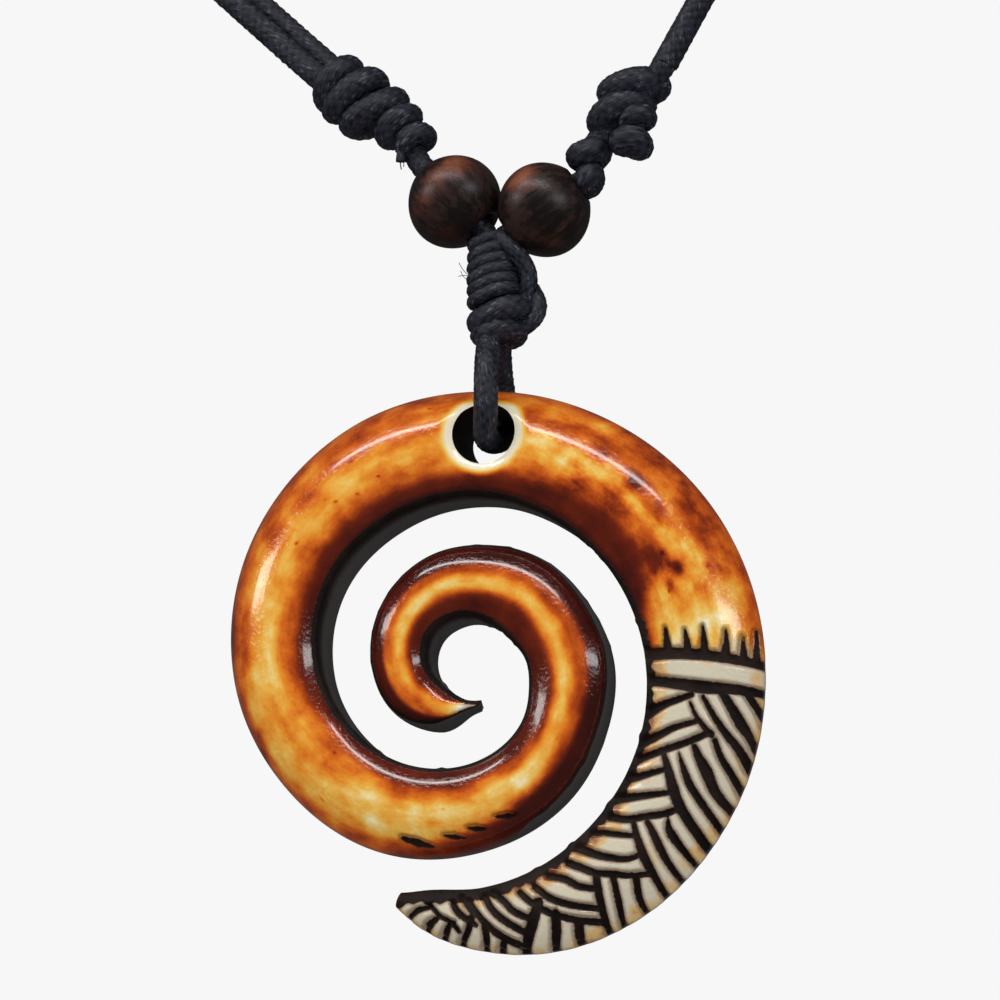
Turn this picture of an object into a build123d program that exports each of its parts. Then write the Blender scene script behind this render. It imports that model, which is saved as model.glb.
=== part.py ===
from build123d import *
import math
import os

# A koru necklace in millimetres. The origin is where the neck loop sits on the nape.
# +Z is up and the carved face looks towards -Y.

# Koru
koru_reach = 24.8
koru_thickness = 6.2
hole_radius = 2.7
hole_bridge = 1.2
rim_depth = 1.4
back_chamfer = 0.45
cut_overrun = 0.6
neck_drop = 181.0

# Cord, and its loop through the koru's hole
cord_diameter = 2.1
loop_height = 8.2
loop_front = 3.35
loop_back = 4.5
loop_pinch = 1.8

# Beads, and how far along its cord each one sits from the centre knot
bead_diameter = 7.9
bead_length = 7.1
bead_hole_clearance = 0.2
bead_lip = 0.5
bead_left_place = 3.9
bead_right_place = 3.65

# Knots
knot_length = 8.6
closure_length = 13.0
stub_length = 2.2
clear_length = 3.0
cord_clearance = 0.08

cord_radius = cord_diameter / 2

# Rows of the spiral band, from the tail's tip to the curl's tip. Columns: turn in degrees about
# the curl's centre, inner edge, outer edge (shares of koru_reach), thickness and the height of
# the front's outer edge (shares of koru_thickness).
BAND = [
    (-111, 0.815, 0.850, 0.40, 0.26),
    (-105, 0.785, 0.890, 0.50, 0.31),
    (-90, 0.760, 0.950, 0.62, 0.37),
    (-75, 0.730, 0.988, 0.68, 0.40),
    (-60, 0.694, 1.000, 0.73, 0.42),
    (-30, 0.625, 0.976, 0.80, 0.44),
    (0, 0.565, 0.940, 0.88, 0.46),
    (30, 0.532, 0.923, 0.95, 0.48),
    (60, 0.536, 0.923, 1.00, 0.50),
    (90, 0.568, 0.935, 1.00, 0.50),
    (120, 0.593, 0.956, 1.00, 0.50),
    (150, 0.597, 0.935, 1.00, 0.50),
    (180, 0.556, 0.875, 1.00, 0.50),
    (210, 0.480, 0.790, 0.98, 0.52),
    (240, 0.403, 0.698, 0.96, 0.56),
    (270, 0.337, 0.600, 0.94, 0.62),
    (300, 0.270, 0.520, 0.93, 0.66),
    (330, 0.202, 0.452, 0.92, 0.68),
    (360, 0.153, 0.415, 0.92, 0.68),
    (390, 0.129, 0.395, 0.92, 0.68),
    (420, 0.129, 0.395, 0.92, 0.68),
    (450, 0.149, 0.395, 0.92, 0.68),
    (480, 0.185, 0.403, 0.90, 0.68),
    (510, 0.206, 0.395, 0.88, 0.67),
    (540, 0.190, 0.371, 0.86, 0.66),
    (570, 0.153, 0.335, 0.83, 0.64),
    (590, 0.141, 0.278, 0.80, 0.62),
    (610, 0.133, 0.202, 0.74, 0.60),
    (630, 0.125, 0.141, 0.66, 0.56),
]

# Shares of a band section: the inner wall's height, the crown's place, and the soft back corner,
# whose depth stays under a share of the outer edge's height.
INNER_WALL = 0.78
CROWN_PLACE = 0.45
BACK_ROUND = 0.10
BACK_ROUND_LIMIT = 0.33
HOLE_TURN = 87.8

# The hanging loop: height of its shoulders, and the bend over the bridge, as a share of its depth.
LOOP_SHOULDER = 0.66
LOOP_BEND = 0.49
CORNER_SHARE = 0.45

# Turns of each knot, from its foot. Columns: place along the knot (share of its length), place
# aside, ring radius and strand radius (shares of the cord's radius), and lean in degrees.
CENTRE_TURNS = [
    (0.17, 0.15, 1.75, 1.05, -15),
    (0.38, 0.05, 1.62, 0.58, -14),
    (0.49, 0.00, 1.58, 0.57, -13),
    (0.60, -0.05, 1.54, 0.56, -12),
    (0.71, -0.10, 1.48, 0.55, -12),
    (0.82, -0.10, 1.40, 0.53, -10),
    (0.93, -0.05, 1.25, 0.50, -8),
]
LARGE_TURNS = [
    (0.28, 0.10, 1.85, 1.10, 16),
    (0.66, -0.05, 1.95, 1.12, 8),
]
SMALL_TURNS = [
    (0.28, 0.10, 1.15, 0.90, 14),
    (0.70, -0.05, 1.20, 0.95, -10),
]
CLOSURE_TURNS = [(0.11 + 0.13 * i, 0.0, 2.05, 0.90, 5) for i in range(7)]

# Radius of each knot's core and of the centre knot's side strand, as shares of the cord's radius.
CENTRE_CORE = 1.35
LARGE_CORE = 1.75
SMALL_CORE = 1.15
CLOSURE_CORE = 2.5
SIDE_STRAND_SHARE = 0.9

# Places of the knots and beads. The centre knot's top holds the two bead cords.
CENTRE_TOP_OFFSET = 0.45
BEAD_CORD_LEFT = ((-0.75, 0.1, -163.0), (-6.85, 0.1, -155.4))
BEAD_CORD_RIGHT = ((1.75, -0.1, -163.35), (8.1, -0.1, -158.75))
SMALL_LEFT = ((-6.85, 0.1, -155.4), (-8.9, 0.1, -152.1))
LARGE_LEFT = ((-9.3, 0.1, -152.4), (-13.9, 0.1, -148.2))
SMALL_RIGHT = ((8.1, -0.1, -158.75), (10.0, -0.1, -155.6))
LARGE_RIGHT = ((10.3, 0.0, -155.7), (14.1, 0.0, -150.5))
SIDE_STRAND = [(1.6, -0.9, -165.9), (3.0, -0.9, -167.6), (3.4, -0.5, -169.6), (1.6, 0.0, -171.4)]

# Routes of the four neck strands, from the large knots up to the closure at the nape.
NECK_CORDS = {
    "neck_cord_left_outer": [
        (-15.3, -0.1, -148.7), (-22.9, 0.2, -141.5), (-37.0, 0.4, -127.2), (-50.6, 0.1, -109.0),
        (-60.7, -0.2, -87.8), (-65.3, 0.0, -64.4), (-62.7, 0.3, -40.4), (-52.4, 0.2, -19.0),
        (-36.2, 0.0, -3.3), (-18.8, -0.1, 3.3), (-6.5, 0.0, 4.3),
    ],
    "neck_cord_left_inner": [
        (-13.7, 0.3, -147.0), (-21.3, -0.1, -139.7), (-35.0, -0.3, -125.8), (-48.4, 0.0, -107.9),
        (-58.3, 0.2, -87.1), (-62.7, 0.1, -64.6), (-60.2, -0.2, -41.4), (-50.5, -0.1, -20.9),
        (-34.9, 0.1, -5.6), (-18.2, 0.1, 0.8), (-6.5, 0.0, 1.8),
    ],
    "neck_cord_right_outer": [
        (15.0, -1.1, -149.9), (19.1, -1.2, -142.6), (26.8, -1.2, -130.1), (38.4, -1.0, -110.8),
        (51.9, -0.8, -86.7), (61.7, -0.6, -63.4), (63.7, -0.4, -39.6), (54.4, -0.2, -17.6),
        (37.7, 0.0, -2.8), (19.3, 0.1, 3.3), (6.5, 0.0, 4.3),
    ],
    "neck_cord_right_inner": [
        (14.1, 1.2, -149.4), (18.3, 1.3, -142.0), (25.9, 1.2, -129.7), (37.1, 1.1, -110.5),
        (50.2, 0.9, -86.4), (59.6, 0.7, -63.2), (61.4, 0.5, -40.4), (52.6, 0.3, -19.4),
        (36.4, 0.1, -5.2), (18.7, -0.1, 0.8), (6.5, 0.0, 1.8),
    ],
}


def band_at(turn):
    """Inner and outer edge of the band at a turn, read between the rows of the table."""
    for low, high in zip(BAND, BAND[1:]):
        if low[0] <= turn <= high[0]:
            part = (turn - low[0]) / (high[0] - low[0])
            return tuple(koru_reach * (low[i] + part * (high[i] - low[i])) for i in (1, 2))
    raise ValueError("the turn lies off the band")


def band_section(turn, inner, outer, depth, shoulder):
    """One cut through the band: flat back, upright inner wall, domed front, rounded outer edge."""
    angle = math.radians(turn)
    plane = Plane(
        origin=(0, koru_thickness / 2, 0),
        x_dir=(math.cos(angle), 0, math.sin(angle)),
        z_dir=(math.sin(angle), 0, -math.cos(angle)),
    )
    near, far = koru_reach * inner, koru_reach * outer
    width = far - near
    height = koru_thickness * depth
    edge = koru_thickness * shoulder
    soften = min(BACK_ROUND * width, BACK_ROUND_LIMIT * edge)
    wall = Line((near, 0), (near, height * INNER_WALL))
    rim = far - BACK_ROUND_LIMIT * soften
    dome = ThreePointArc(wall @ 1, (near + CROWN_PLACE * width, height), (rim, edge))
    side = ThreePointArc(dome @ 1, (far, (edge + soften) / 2), (rim, soften))
    heel = Line(side @ 1, (far - soften, 0))
    back = Line(heel @ 1, (near, 0))
    return plane * make_face([wall, dome, side, heel, back])


def hole_place():
    """The drilled hole's centre from the curl's centre, in the koru's plane."""
    radius = band_at(HOLE_TURN)[1] - hole_bridge - hole_radius
    angle = math.radians(HOLE_TURN)
    return radius * math.cos(angle), radius * math.sin(angle)


def hang(band):
    """Turn the band about its hole until the weight lies straight below, as it hangs."""
    weight = band.center(CenterOf.MASS)
    lean = math.degrees(math.atan2(weight.X, -weight.Z))
    print(f"the koru hangs {lean:.3f} degrees from the table's own turns")
    return Rot(0, lean, 0) * band


def make_koru():
    """The spiral band, drilled and countersunk for its cord, hanging from the hole."""
    band = loft([band_section(*row) for row in BAND])
    x, z = hole_place()
    band = Pos(-x, 0, -z) * band
    front, back = -koru_thickness / 2, koru_thickness / 2
    along_y = Rot(-90, 0, 0)
    drill = along_y * Cylinder(hole_radius, 2 * koru_thickness)
    rim_cut = rim_depth + cut_overrun
    heel_cut = back_chamfer + cut_overrun
    rim = Cone(hole_radius + rim_cut, hole_radius, rim_cut)
    heel = Cone(hole_radius, hole_radius + heel_cut, heel_cut)
    band -= drill
    band -= Pos(0, front + rim_depth - rim_cut / 2, 0) * along_y * rim
    band -= Pos(0, back - back_chamfer + heel_cut / 2, 0) * along_y * heel
    return Pos(0, 0, -neck_drop) * hang(band)


def corner_radii(points):
    """Each corner's radius: a share of its shorter run over the tangent of half its turn."""
    radii = []
    for before, corner, after in zip(points, points[1:], points[2:]):
        run_in, run_out = Vector(corner) - Vector(before), Vector(after) - Vector(corner)
        half_turn = math.radians(run_in.get_angle(run_out)) / 2
        shorter = min(run_in.length, run_out.length)
        radii.append(CORNER_SHARE * shorter / math.tan(half_turn))
    return radii


def make_cord(name, points, radii=None, radius=cord_radius):
    """A round cord along straight runs joined by tangent arcs."""
    radii = radii or corner_radii(points)
    path = FilletPolyline(*points, radius=radii)
    start = Plane(origin=path @ 0, z_dir=path % 0)
    cord = sweep(start * Circle(radius), path=path)
    share = cord.volume / (math.pi * radius**2 * path.length)
    print(f"{name}: {path.length:.1f} mm, volume {share:.4f} of section times length,")
    print("    radii " + ", ".join(f"{r:.1f}" for r in radii))
    return cord


def straight_cord(start, end, radius=cord_radius):
    """A straight stretch of cord between two points."""
    way = Vector(end) - Vector(start)
    rod = Cylinder(radius, way.length, align=(Align.CENTER, Align.CENTER, Align.MIN))
    return Plane(origin=start, z_dir=way.normalized()) * rod


def join(knot, end, beyond):
    """Give a knot the cord's own stretch inside it, with a clear flat end where the cord goes on."""
    away = (Vector(beyond) - Vector(end)).normalized()
    knot += straight_cord(end, Vector(end) - away * stub_length)
    return knot - straight_cord(end, Vector(end) + away * clear_length, cord_radius + cord_clearance)


def make_knot(foot, top, turns, core_share):
    """A knot as the turns of cord round its core, from its foot to its top."""
    axis = Vector(top) - Vector(foot)
    stand = Plane(origin=foot, x_dir=(axis.Z, 0, -axis.X), z_dir=axis.normalized())
    knot = Cylinder(
        core_share * cord_radius, axis.length, align=(Align.CENTER, Align.CENTER, Align.MIN)
    )
    for place, aside, ring, strand, lean in turns:
        turn = Rot(0, lean, 0) * Torus(ring * cord_radius, strand * cord_radius)
        knot += Pos(aside * cord_radius, 0, place * axis.length) * turn
    return stand * knot


def loop_route():
    """The hanging loop's corners, from the knot down the front, through the hole and up the back."""
    hole = -neck_drop
    foot = hole + loop_height
    shoulder = hole + LOOP_SHOULDER * loop_height
    return [
        (0, -loop_pinch, foot), (0, -loop_front, shoulder), (0, -loop_front, hole),
        (0, loop_back, hole), (0, loop_back, shoulder), (0, loop_pinch, foot),
    ]


def make_hanging_loop():
    """The cord loop that carries the koru, bent round the bridge over its hole."""
    route = loop_route()
    easy = corner_radii(route)
    bend = LOOP_BEND * (loop_front + loop_back)
    return make_cord("hanging_loop", route, [easy[0], bend, bend, easy[-1]])


def make_centre_knot():
    """The wrapped knot over the loop, with its side strand and the four cord ends in it."""
    foot = (0, 0, loop_height - neck_drop)
    top = (CENTRE_TOP_OFFSET, 0, loop_height + knot_length - neck_drop)
    knot = make_knot(foot, top, CENTRE_TURNS, CENTRE_CORE)
    knot += make_cord("side strand", SIDE_STRAND, radius=SIDE_STRAND_SHARE * cord_radius)
    route = loop_route()
    for end, beyond in ((route[0], route[1]), (route[-1], route[-2]), BEAD_CORD_LEFT, BEAD_CORD_RIGHT):
        knot = join(knot, end, beyond)
    return knot


def make_side_knot(small, large, bead_cord, strands):
    """The small and the large knot beside a bead, with the cord ends in them."""
    knot = make_knot(*small, SMALL_TURNS, SMALL_CORE) + make_knot(*large, LARGE_TURNS, LARGE_CORE)
    knot += straight_cord(small[1], large[0])
    for end, beyond in [(bead_cord[1], bead_cord[0])] + [strand[:2] for strand in strands]:
        knot = join(knot, end, beyond)
    return knot


def make_closure():
    """The sliding closure at the nape, one wrapped barrel round the strands."""
    half = closure_length / 2
    height = sum(route[-1][2] for route in NECK_CORDS.values()) / len(NECK_CORDS)
    closure = make_knot((-half, 0, height), (half, 0, height), CLOSURE_TURNS, CLOSURE_CORE)
    for route in NECK_CORDS.values():
        closure = join(closure, route[-1], route[-2])
    return closure


def make_bead(cord, place):
    """A turned wood bead, drilled for its cord and set along it."""
    hole = cord_radius + bead_hole_clearance
    mouth = hole + bead_lip
    half = bead_length / 2
    belly = ThreePointArc((mouth, -half), (bead_diameter / 2, 0), (mouth, half))
    bore = Polyline(belly @ 1, (hole, half), (hole, -half), belly @ 0)
    outline = Plane.XZ * make_face([belly, bore])
    way = (Vector(cord[1]) - Vector(cord[0])).normalized()
    return Plane(origin=Vector(cord[0]) + way * place, z_dir=way) * revolve(outline, Axis.Z)


def save(name, shape):
    """Write one piece as its own STEP file."""
    export_step(shape, f"parts/{name}.step")
    print(f"{name}: {shape.volume:.1f} cubic mm, {len(shape.solids())} solid, valid {shape.is_valid}")


def main():
    os.makedirs("parts", exist_ok=True)
    save("koru", make_koru())
    save("hanging_loop", make_hanging_loop())
    save("centre_knot", make_centre_knot())
    for side, cord, place in (
        ("left", BEAD_CORD_LEFT, bead_left_place),
        ("right", BEAD_CORD_RIGHT, bead_right_place),
    ):
        save(f"bead_cord_{side}", straight_cord(*cord))
        save(f"bead_{side}", make_bead(cord, place))
    for side, small, large, cord in (
        ("left", SMALL_LEFT, LARGE_LEFT, BEAD_CORD_LEFT),
        ("right", SMALL_RIGHT, LARGE_RIGHT, BEAD_CORD_RIGHT),
    ):
        strands = [NECK_CORDS[f"neck_cord_{side}_{place}"] for place in ("outer", "inner")]
        save(f"side_knot_{side}", make_side_knot(small, large, cord, strands))
    for name, route in NECK_CORDS.items():
        save(name, make_cord(name, route))
    save("closure_knot", make_closure())


main()
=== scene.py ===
"""The looks of a koru pendant necklace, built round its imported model."""

import logging
import math
from dataclasses import dataclass
from enum import Enum

import bmesh
import bpy
import numpy as np
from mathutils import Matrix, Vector


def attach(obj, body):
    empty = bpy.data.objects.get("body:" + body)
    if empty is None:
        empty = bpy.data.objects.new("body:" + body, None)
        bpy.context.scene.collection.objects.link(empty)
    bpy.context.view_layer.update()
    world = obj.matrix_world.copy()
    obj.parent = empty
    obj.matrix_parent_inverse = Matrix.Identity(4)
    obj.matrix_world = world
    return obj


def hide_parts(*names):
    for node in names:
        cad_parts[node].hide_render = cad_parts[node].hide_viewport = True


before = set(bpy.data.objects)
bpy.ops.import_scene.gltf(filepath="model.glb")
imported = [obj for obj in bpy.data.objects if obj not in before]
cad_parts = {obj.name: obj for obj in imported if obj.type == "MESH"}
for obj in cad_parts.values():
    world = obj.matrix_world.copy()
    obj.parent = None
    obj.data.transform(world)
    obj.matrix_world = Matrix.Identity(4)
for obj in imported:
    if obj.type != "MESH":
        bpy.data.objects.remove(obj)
log = logging.getLogger("koru_necklace")

Array = np.ndarray
Colour = tuple[float, float, float]
Point = tuple[float, float, float]
Pair = tuple[float, float]

MM = 0.001


class Body(Enum):
    """The record's two bodies, which the swing joins."""

    NECKLACE = "necklace"
    PENDANT = "pendant"


class Slot(Enum):
    """The record's material slots."""

    RESIN = "stained_resin"
    CORD = "waxed_cord"
    WOOD = "dark_wood"


def rgb(red: int, green: int, blue: int) -> Colour:
    """Linear colour of a screen colour given from 0 to 255."""
    shares = (value / 255 for value in (red, green, blue))
    return tuple(s / 12.92 if s <= 0.04045 else ((s + 0.055) / 1.055) ** 2.4 for s in shares)


class Link:
    """A shader socket that Python's own operators do maths on."""

    def __init__(self, graph: "Graph", socket: bpy.types.NodeSocket) -> None:
        """Wrap one output socket of a graph.

        Args:
            graph: The nodes that it belongs to.
            socket: The output socket.
        """
        self.graph = graph
        self.socket = socket

    def __add__(self, other: "Link | float") -> "Link":
        """Self plus other."""
        return self.graph.math("ADD", self, other)

    def __radd__(self, other: float) -> "Link":
        """Other plus self."""
        return self.graph.math("ADD", other, self)

    def __sub__(self, other: "Link | float") -> "Link":
        """Self minus other."""
        return self.graph.math("SUBTRACT", self, other)

    def __rsub__(self, other: float) -> "Link":
        """Other minus self."""
        return self.graph.math("SUBTRACT", other, self)

    def __mul__(self, other: "Link | float") -> "Link":
        """Self times other."""
        return self.graph.math("MULTIPLY", self, other)

    def __rmul__(self, other: float) -> "Link":
        """Other times self."""
        return self.graph.math("MULTIPLY", other, self)

    def between(self, low: float, high: float) -> "Link":
        """0 at or under low, 1 at or over high, and a smooth step in between."""
        return self.graph.node(
            "ShaderNodeMapRange",
            {"interpolation_type": "SMOOTHSTEP"},
            {"Value": self, "From Min": low, "From Max": high},
        )


class Graph:
    """The nodes of one material or of the world."""

    def __init__(self, owner: bpy.types.Material | bpy.types.World) -> None:
        """Start with no nodes.

        Args:
            owner: The material or world that keeps the nodes.
        """
        owner.use_nodes = True
        self.owner = owner
        self.tree = owner.node_tree
        self.tree.nodes.clear()

    @staticmethod
    def find(sockets: bpy.types.bpy_prop_collection, key: str) -> bpy.types.NodeSocket:
        """The socket in use that has this name or identifier, or the first one for no key."""
        return next((s for s in sockets if s.enabled and key in ("", s.identifier, s.name)), None)

    def plug(self, socket: bpy.types.NodeSocket, value: "Link | float | tuple") -> None:
        """Join a link to a socket, or set the socket's own value.

        Args:
            socket: An input socket.
            value: A link, a number, a vector, or a colour without alpha.
        """
        if isinstance(value, Link):
            self.tree.links.new(value.socket, socket)
        elif isinstance(value, tuple) and socket.type == "RGBA":
            socket.default_value = (*value, 1.0)
        else:
            socket.default_value = value

    def node(
        self, kind: str, settings: dict | None = None, values: dict | None = None, out: str = ""
    ) -> Link:
        """Add one node.

        Args:
            kind: The node's type.
            settings: Its settings by name, set first; "stops" holds a ramp's places and colours.
            values: A number, colour or link for each of its sockets by name.
            out: The output's name, or none for its first.

        Returns:
            The chosen output as a link.
        """
        made = self.tree.nodes.new(kind)
        for name, setting in (settings or {}).items():
            if name == "stops":
                ramp = made.color_ramp.elements
                while len(ramp) < len(setting):
                    ramp.new(1.0)
                for element, (place, colour) in zip(ramp, setting):
                    element.position = place
                    element.color = (*colour, 1.0)
            else:
                setattr(made, name, setting)
        for key, value in (values or {}).items():
            self.plug(self.find(made.inputs, key), value)
        return Link(self, self.find(made.outputs, out))

    def math(self, operation: str, first: Link | float, second: Link | float) -> Link:
        """One Math node on two numbers or links."""
        values = {"Value": first, "Value_001": second}
        return self.node("ShaderNodeMath", {"operation": operation}, values)

    def mix(self, share: Link | float, first: Link | Colour, second: Link | Colour) -> Link:
        """The first colour at share 0 and the second at share 1."""
        values = {"Factor_Float": share, "A_Color": first, "B_Color": second}
        return self.node("ShaderNodeMix", {"data_type": "RGBA"}, values)

    def mark(self, name: str) -> Link:
        """A number that the mesh keeps at each of its points."""
        return self.node("ShaderNodeAttribute", {"attribute_name": name}, out="Fac")

    def place(self, *numbers: Link | float) -> Link:
        """A vector of three numbers or links."""
        return self.node("ShaderNodeCombineXYZ", values=dict(zip("XYZ", numbers)))

    def spot(self) -> Link:
        """The point's own place in millimetres, which moves with its piece."""
        here = self.node("ShaderNodeTexCoord", out="Object")
        return self.node(
            "ShaderNodeVectorMath",
            {"operation": "SCALE"},
            {"Vector": here, "Scale": 1 / MM},
        )

    def grain(self, where: Link, scale: float, detail: float = 3.0, rough: float = 0.55) -> Link:
        """Noise from about 0.3 to 0.7, of that many features a unit."""
        values = {"Vector": where, "Scale": scale, "Detail": detail, "Roughness": rough}
        return self.node("ShaderNodeTexNoise", values=values)


class Surface(Graph):
    """A material's nodes, with a Principled shader at their end."""

    def __init__(self, name: str) -> None:
        """Start an empty material of that name.

        Args:
            name: The new material's name.
        """
        super().__init__(bpy.data.materials.new(name))
        self.shader = self.tree.nodes.new("ShaderNodeBsdfPrincipled")
        output = self.tree.nodes.new("ShaderNodeOutputMaterial")
        self.tree.links.new(self.shader.outputs["BSDF"], output.inputs["Surface"])

    def finish(
        self, bump: Link | None = None, depth: float = 0.0, **sockets: object
    ) -> bpy.types.Material:
        """Set the shader's sockets.

        Args:
            bump: The height that the bump follows, if any.
            depth: The bump's depth in millimetres.
            sockets: A value or link for each socket's name, with underscores for its spaces.

        Returns:
            The finished material.
        """
        for name, value in sockets.items():
            self.plug(self.shader.inputs[name.replace("_", " ")], value)
        if bump is not None:
            values = {"Height": bump, "Distance": depth * MM, "Strength": 1.0}
            self.plug(self.shader.inputs["Normal"], self.node("ShaderNodeBump", values=values))
        return self.owner


@dataclass(frozen=True)
class StainedResin:
    """Ivory resin under a brown stain and a clear gloss, with black in its cuts and shade painted black
    inside its hole.
    """

    stain: tuple[tuple[float, Colour], ...] = (
        (0.00, rgb(34, 10, 9)),
        (0.12, rgb(74, 20, 12)),
        (0.24, rgb(120, 38, 12)),
        (0.37, rgb(184, 74, 16)),
        (0.50, rgb(224, 110, 27)),
        (0.64, rgb(242, 154, 46)),
        (0.78, rgb(248, 192, 84)),
        (0.90, rgb(251, 224, 146)),
        (1.00, rgb(254, 249, 230)),
    )
    cream: Colour = rgb(222, 213, 189)
    warm_cream: Colour = rgb(228, 190, 130)
    brown_cream: Colour = rgb(138, 60, 26)
    burnt: Colour = rgb(112, 52, 22)
    # Black of the cuts and edges, also painted inside the drilled hole as its shade.
    ink: Colour = rgb(24, 14, 10)
    worn_ink: Colour = rgb(60, 37, 27)
    wall: Colour = rgb(76, 72, 71)
    gloss: float = 0.15
    cut_roughness: float = 0.6

    def material(self) -> bpy.types.Material:
        """The koru's material, led by the marks that its mesh carries.

        Returns:
            The finished material.
        """
        g = Surface("stained_resin")
        here = g.spot()
        lane = g.place(g.mark("along") * 0.42, g.mark("across_mm") * 1.15, 0.0)
        blotch = g.grain(here, 0.34, 2.0, 0.5) - 0.5
        streak = g.grain(lane, 0.75, 3.0, 0.55) - 0.5
        fine = g.grain(here, 3.2, 4.0, 0.6) - 0.5
        mottle = blotch * 0.70 + streak * 0.42 + fine * 0.15
        tone = g.mark("tone") + g.mark("mottle") * mottle
        stained = g.node("ShaderNodeValToRGB", {"stops": self.stain}, {"Fac": tone})
        tint = (g.grain(here, 0.50, 3.0) - 0.5) * 3.2 + g.mark("amber")
        warm = g.mix(tint.between(0.30, 1.1), self.cream, self.warm_cream)
        cream = g.mix(tint.between(1.0, 2.1), warm, self.brown_cream)
        body = g.mix(g.mark("cream"), stained, cream)
        edge = g.mark("ink") + fine * 0.20
        fringe = (1.0 - edge.between(0.0, 0.34)) * g.mark("tone").between(0.15, 0.45)
        cut = 1.0 - edge.between(-0.05, 0.05)
        black = g.mix(blotch.between(-0.10, 0.25) * 0.4, self.ink, self.worn_ink)
        dark = g.mix(g.mark("wall").between(0.2, 0.8), black, self.wall)
        colour = g.mix(cut, g.mix(fringe * 0.62, body, self.burnt), dark)
        grit = g.grain(here, 6.0, 3.0, 0.7)
        polish = g.grain(here, 0.7, 2.0) * 0.30 + g.grain(here, 2.4, 3.0, 0.7) * 0.26
        polish = polish + g.grain(here, 2.8, 1.0, 0.5) * 0.42
        return g.finish(
            bump=cut * grit * 0.7 + polish,
            depth=0.10,
            Base_Color=colour,
            Roughness=self.gloss + cut * (self.cut_roughness - self.gloss) + fine * 0.06,
            Coat_Weight=(1.0 - cut) * 0.8,
            Coat_Roughness=0.10,
            Specular_IOR_Level=0.30,
            IOR=1.5,
        )


@dataclass(frozen=True)
class WaxedCord:
    """Near-black waxed cotton, painted darker in its plait's valleys and lighter on its crowns as shade,
    with painted glints as fine pale streaks on the crowns.
    """

    # Painted shade: the plait's valleys are painted darker than its lit crowns.
    valley_shade: Colour = rgb(3, 3, 6)
    lit_crown: Colour = rgb(42, 45, 58)
    # Pale colour of the painted glints on the plait's crowns.
    painted_glint: Colour = rgb(112, 115, 132)
    roughness: float = 0.50

    def material(self) -> bpy.types.Material:
        """The material of every cord and knot.

        Returns:
            The finished material.
        """
        g = Surface("waxed_cord")
        here = g.spot()
        relief = g.mark("relief")
        thread = g.place(g.mark("thread_x") * 3.6, g.mark("thread_y") * 3.6, g.mark("run") * 0.75)
        fibre = g.grain(thread, 1.0, 4.0, 0.70)
        glint = g.grain(thread, 1.7, 2.0, 0.6)
        patch = g.grain(here, 0.8, 3.0)
        # How far each point is painted as a lit crown rather than a shaded valley, mixed with fibre
        # streaks.
        relief_shade_and_fibre = (relief * 0.7 + (fibre - 0.5) * 1.9 + 0.1).between(0.05, 0.95)
        body = g.mix(relief_shade_and_fibre, self.valley_shade, self.lit_crown)
        # Where the painted glints lie: noise spots on the plait's crowns.
        light = (glint * 0.62 + patch * 0.38).between(0.54, 0.66) * relief.between(0.35, 0.9)
        return g.finish(
            bump=fibre + glint * 0.5,
            depth=0.09,
            Base_Color=g.mix(light * 0.65, body, self.painted_glint),
            Roughness=self.roughness + (fibre - 0.5) * 0.4,
            Specular_IOR_Level=0.40,
        )


@dataclass(frozen=True)
class DarkWood:
    """Turned hardwood, stained dark brown and rubbed to orange brown in places, with a painted tan
    highlight where the spots near the top are strongest.
    """

    dark: Colour = rgb(22, 14, 13)
    brown: Colour = rgb(50, 31, 27)
    red: Colour = rgb(84, 38, 27)
    # Tan of the strongest spots, partly bare wood and partly a painted highlight near the top.
    tan: Colour = rgb(146, 86, 54)
    roughness: float = 0.40

    def material(self) -> bpy.types.Material:
        """The material of both beads, whose grain runs along their holes.

        Returns:
            The finished material.
        """
        g = Surface("dark_wood")
        east, north, axial = (g.mark(f"local_{letter}") for letter in "xyz")
        soft = g.grain(g.place(east, north, axial), 0.34, 2.0)
        line = g.grain(g.place(east * 2.4, north * 2.4, axial * 0.6), 0.8, 4.0, 0.65)
        pore = g.grain(g.place(east * 5.0, north * 5.0, axial * 1.4), 1.6, 2.0, 0.6)
        body = g.mix((soft + line - 0.5).between(0.38, 0.66), self.dark, self.brown)
        # Spots of real wear and painted highlight: red where they are weak, tan where they are strong.
        rubbed = g.mark("rubbed") + (line - 0.5) * 0.8 + (soft - 0.5) * 0.8
        warmed = g.mix(rubbed.between(0.15, 0.65), body, self.red)
        colour = g.mix(rubbed.between(0.45, 1.15) * 0.80, warmed, self.tan)
        return g.finish(
            bump=line + pore * 0.4,
            depth=0.025,
            Base_Color=g.mix(pore.between(0.58, 0.70) * 0.55, colour, self.dark),
            Roughness=self.roughness + (line - 0.5) * 0.35,
            Specular_IOR_Level=0.45,
            Coat_Weight=0.12,
            Coat_Roughness=0.28,
        )


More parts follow.
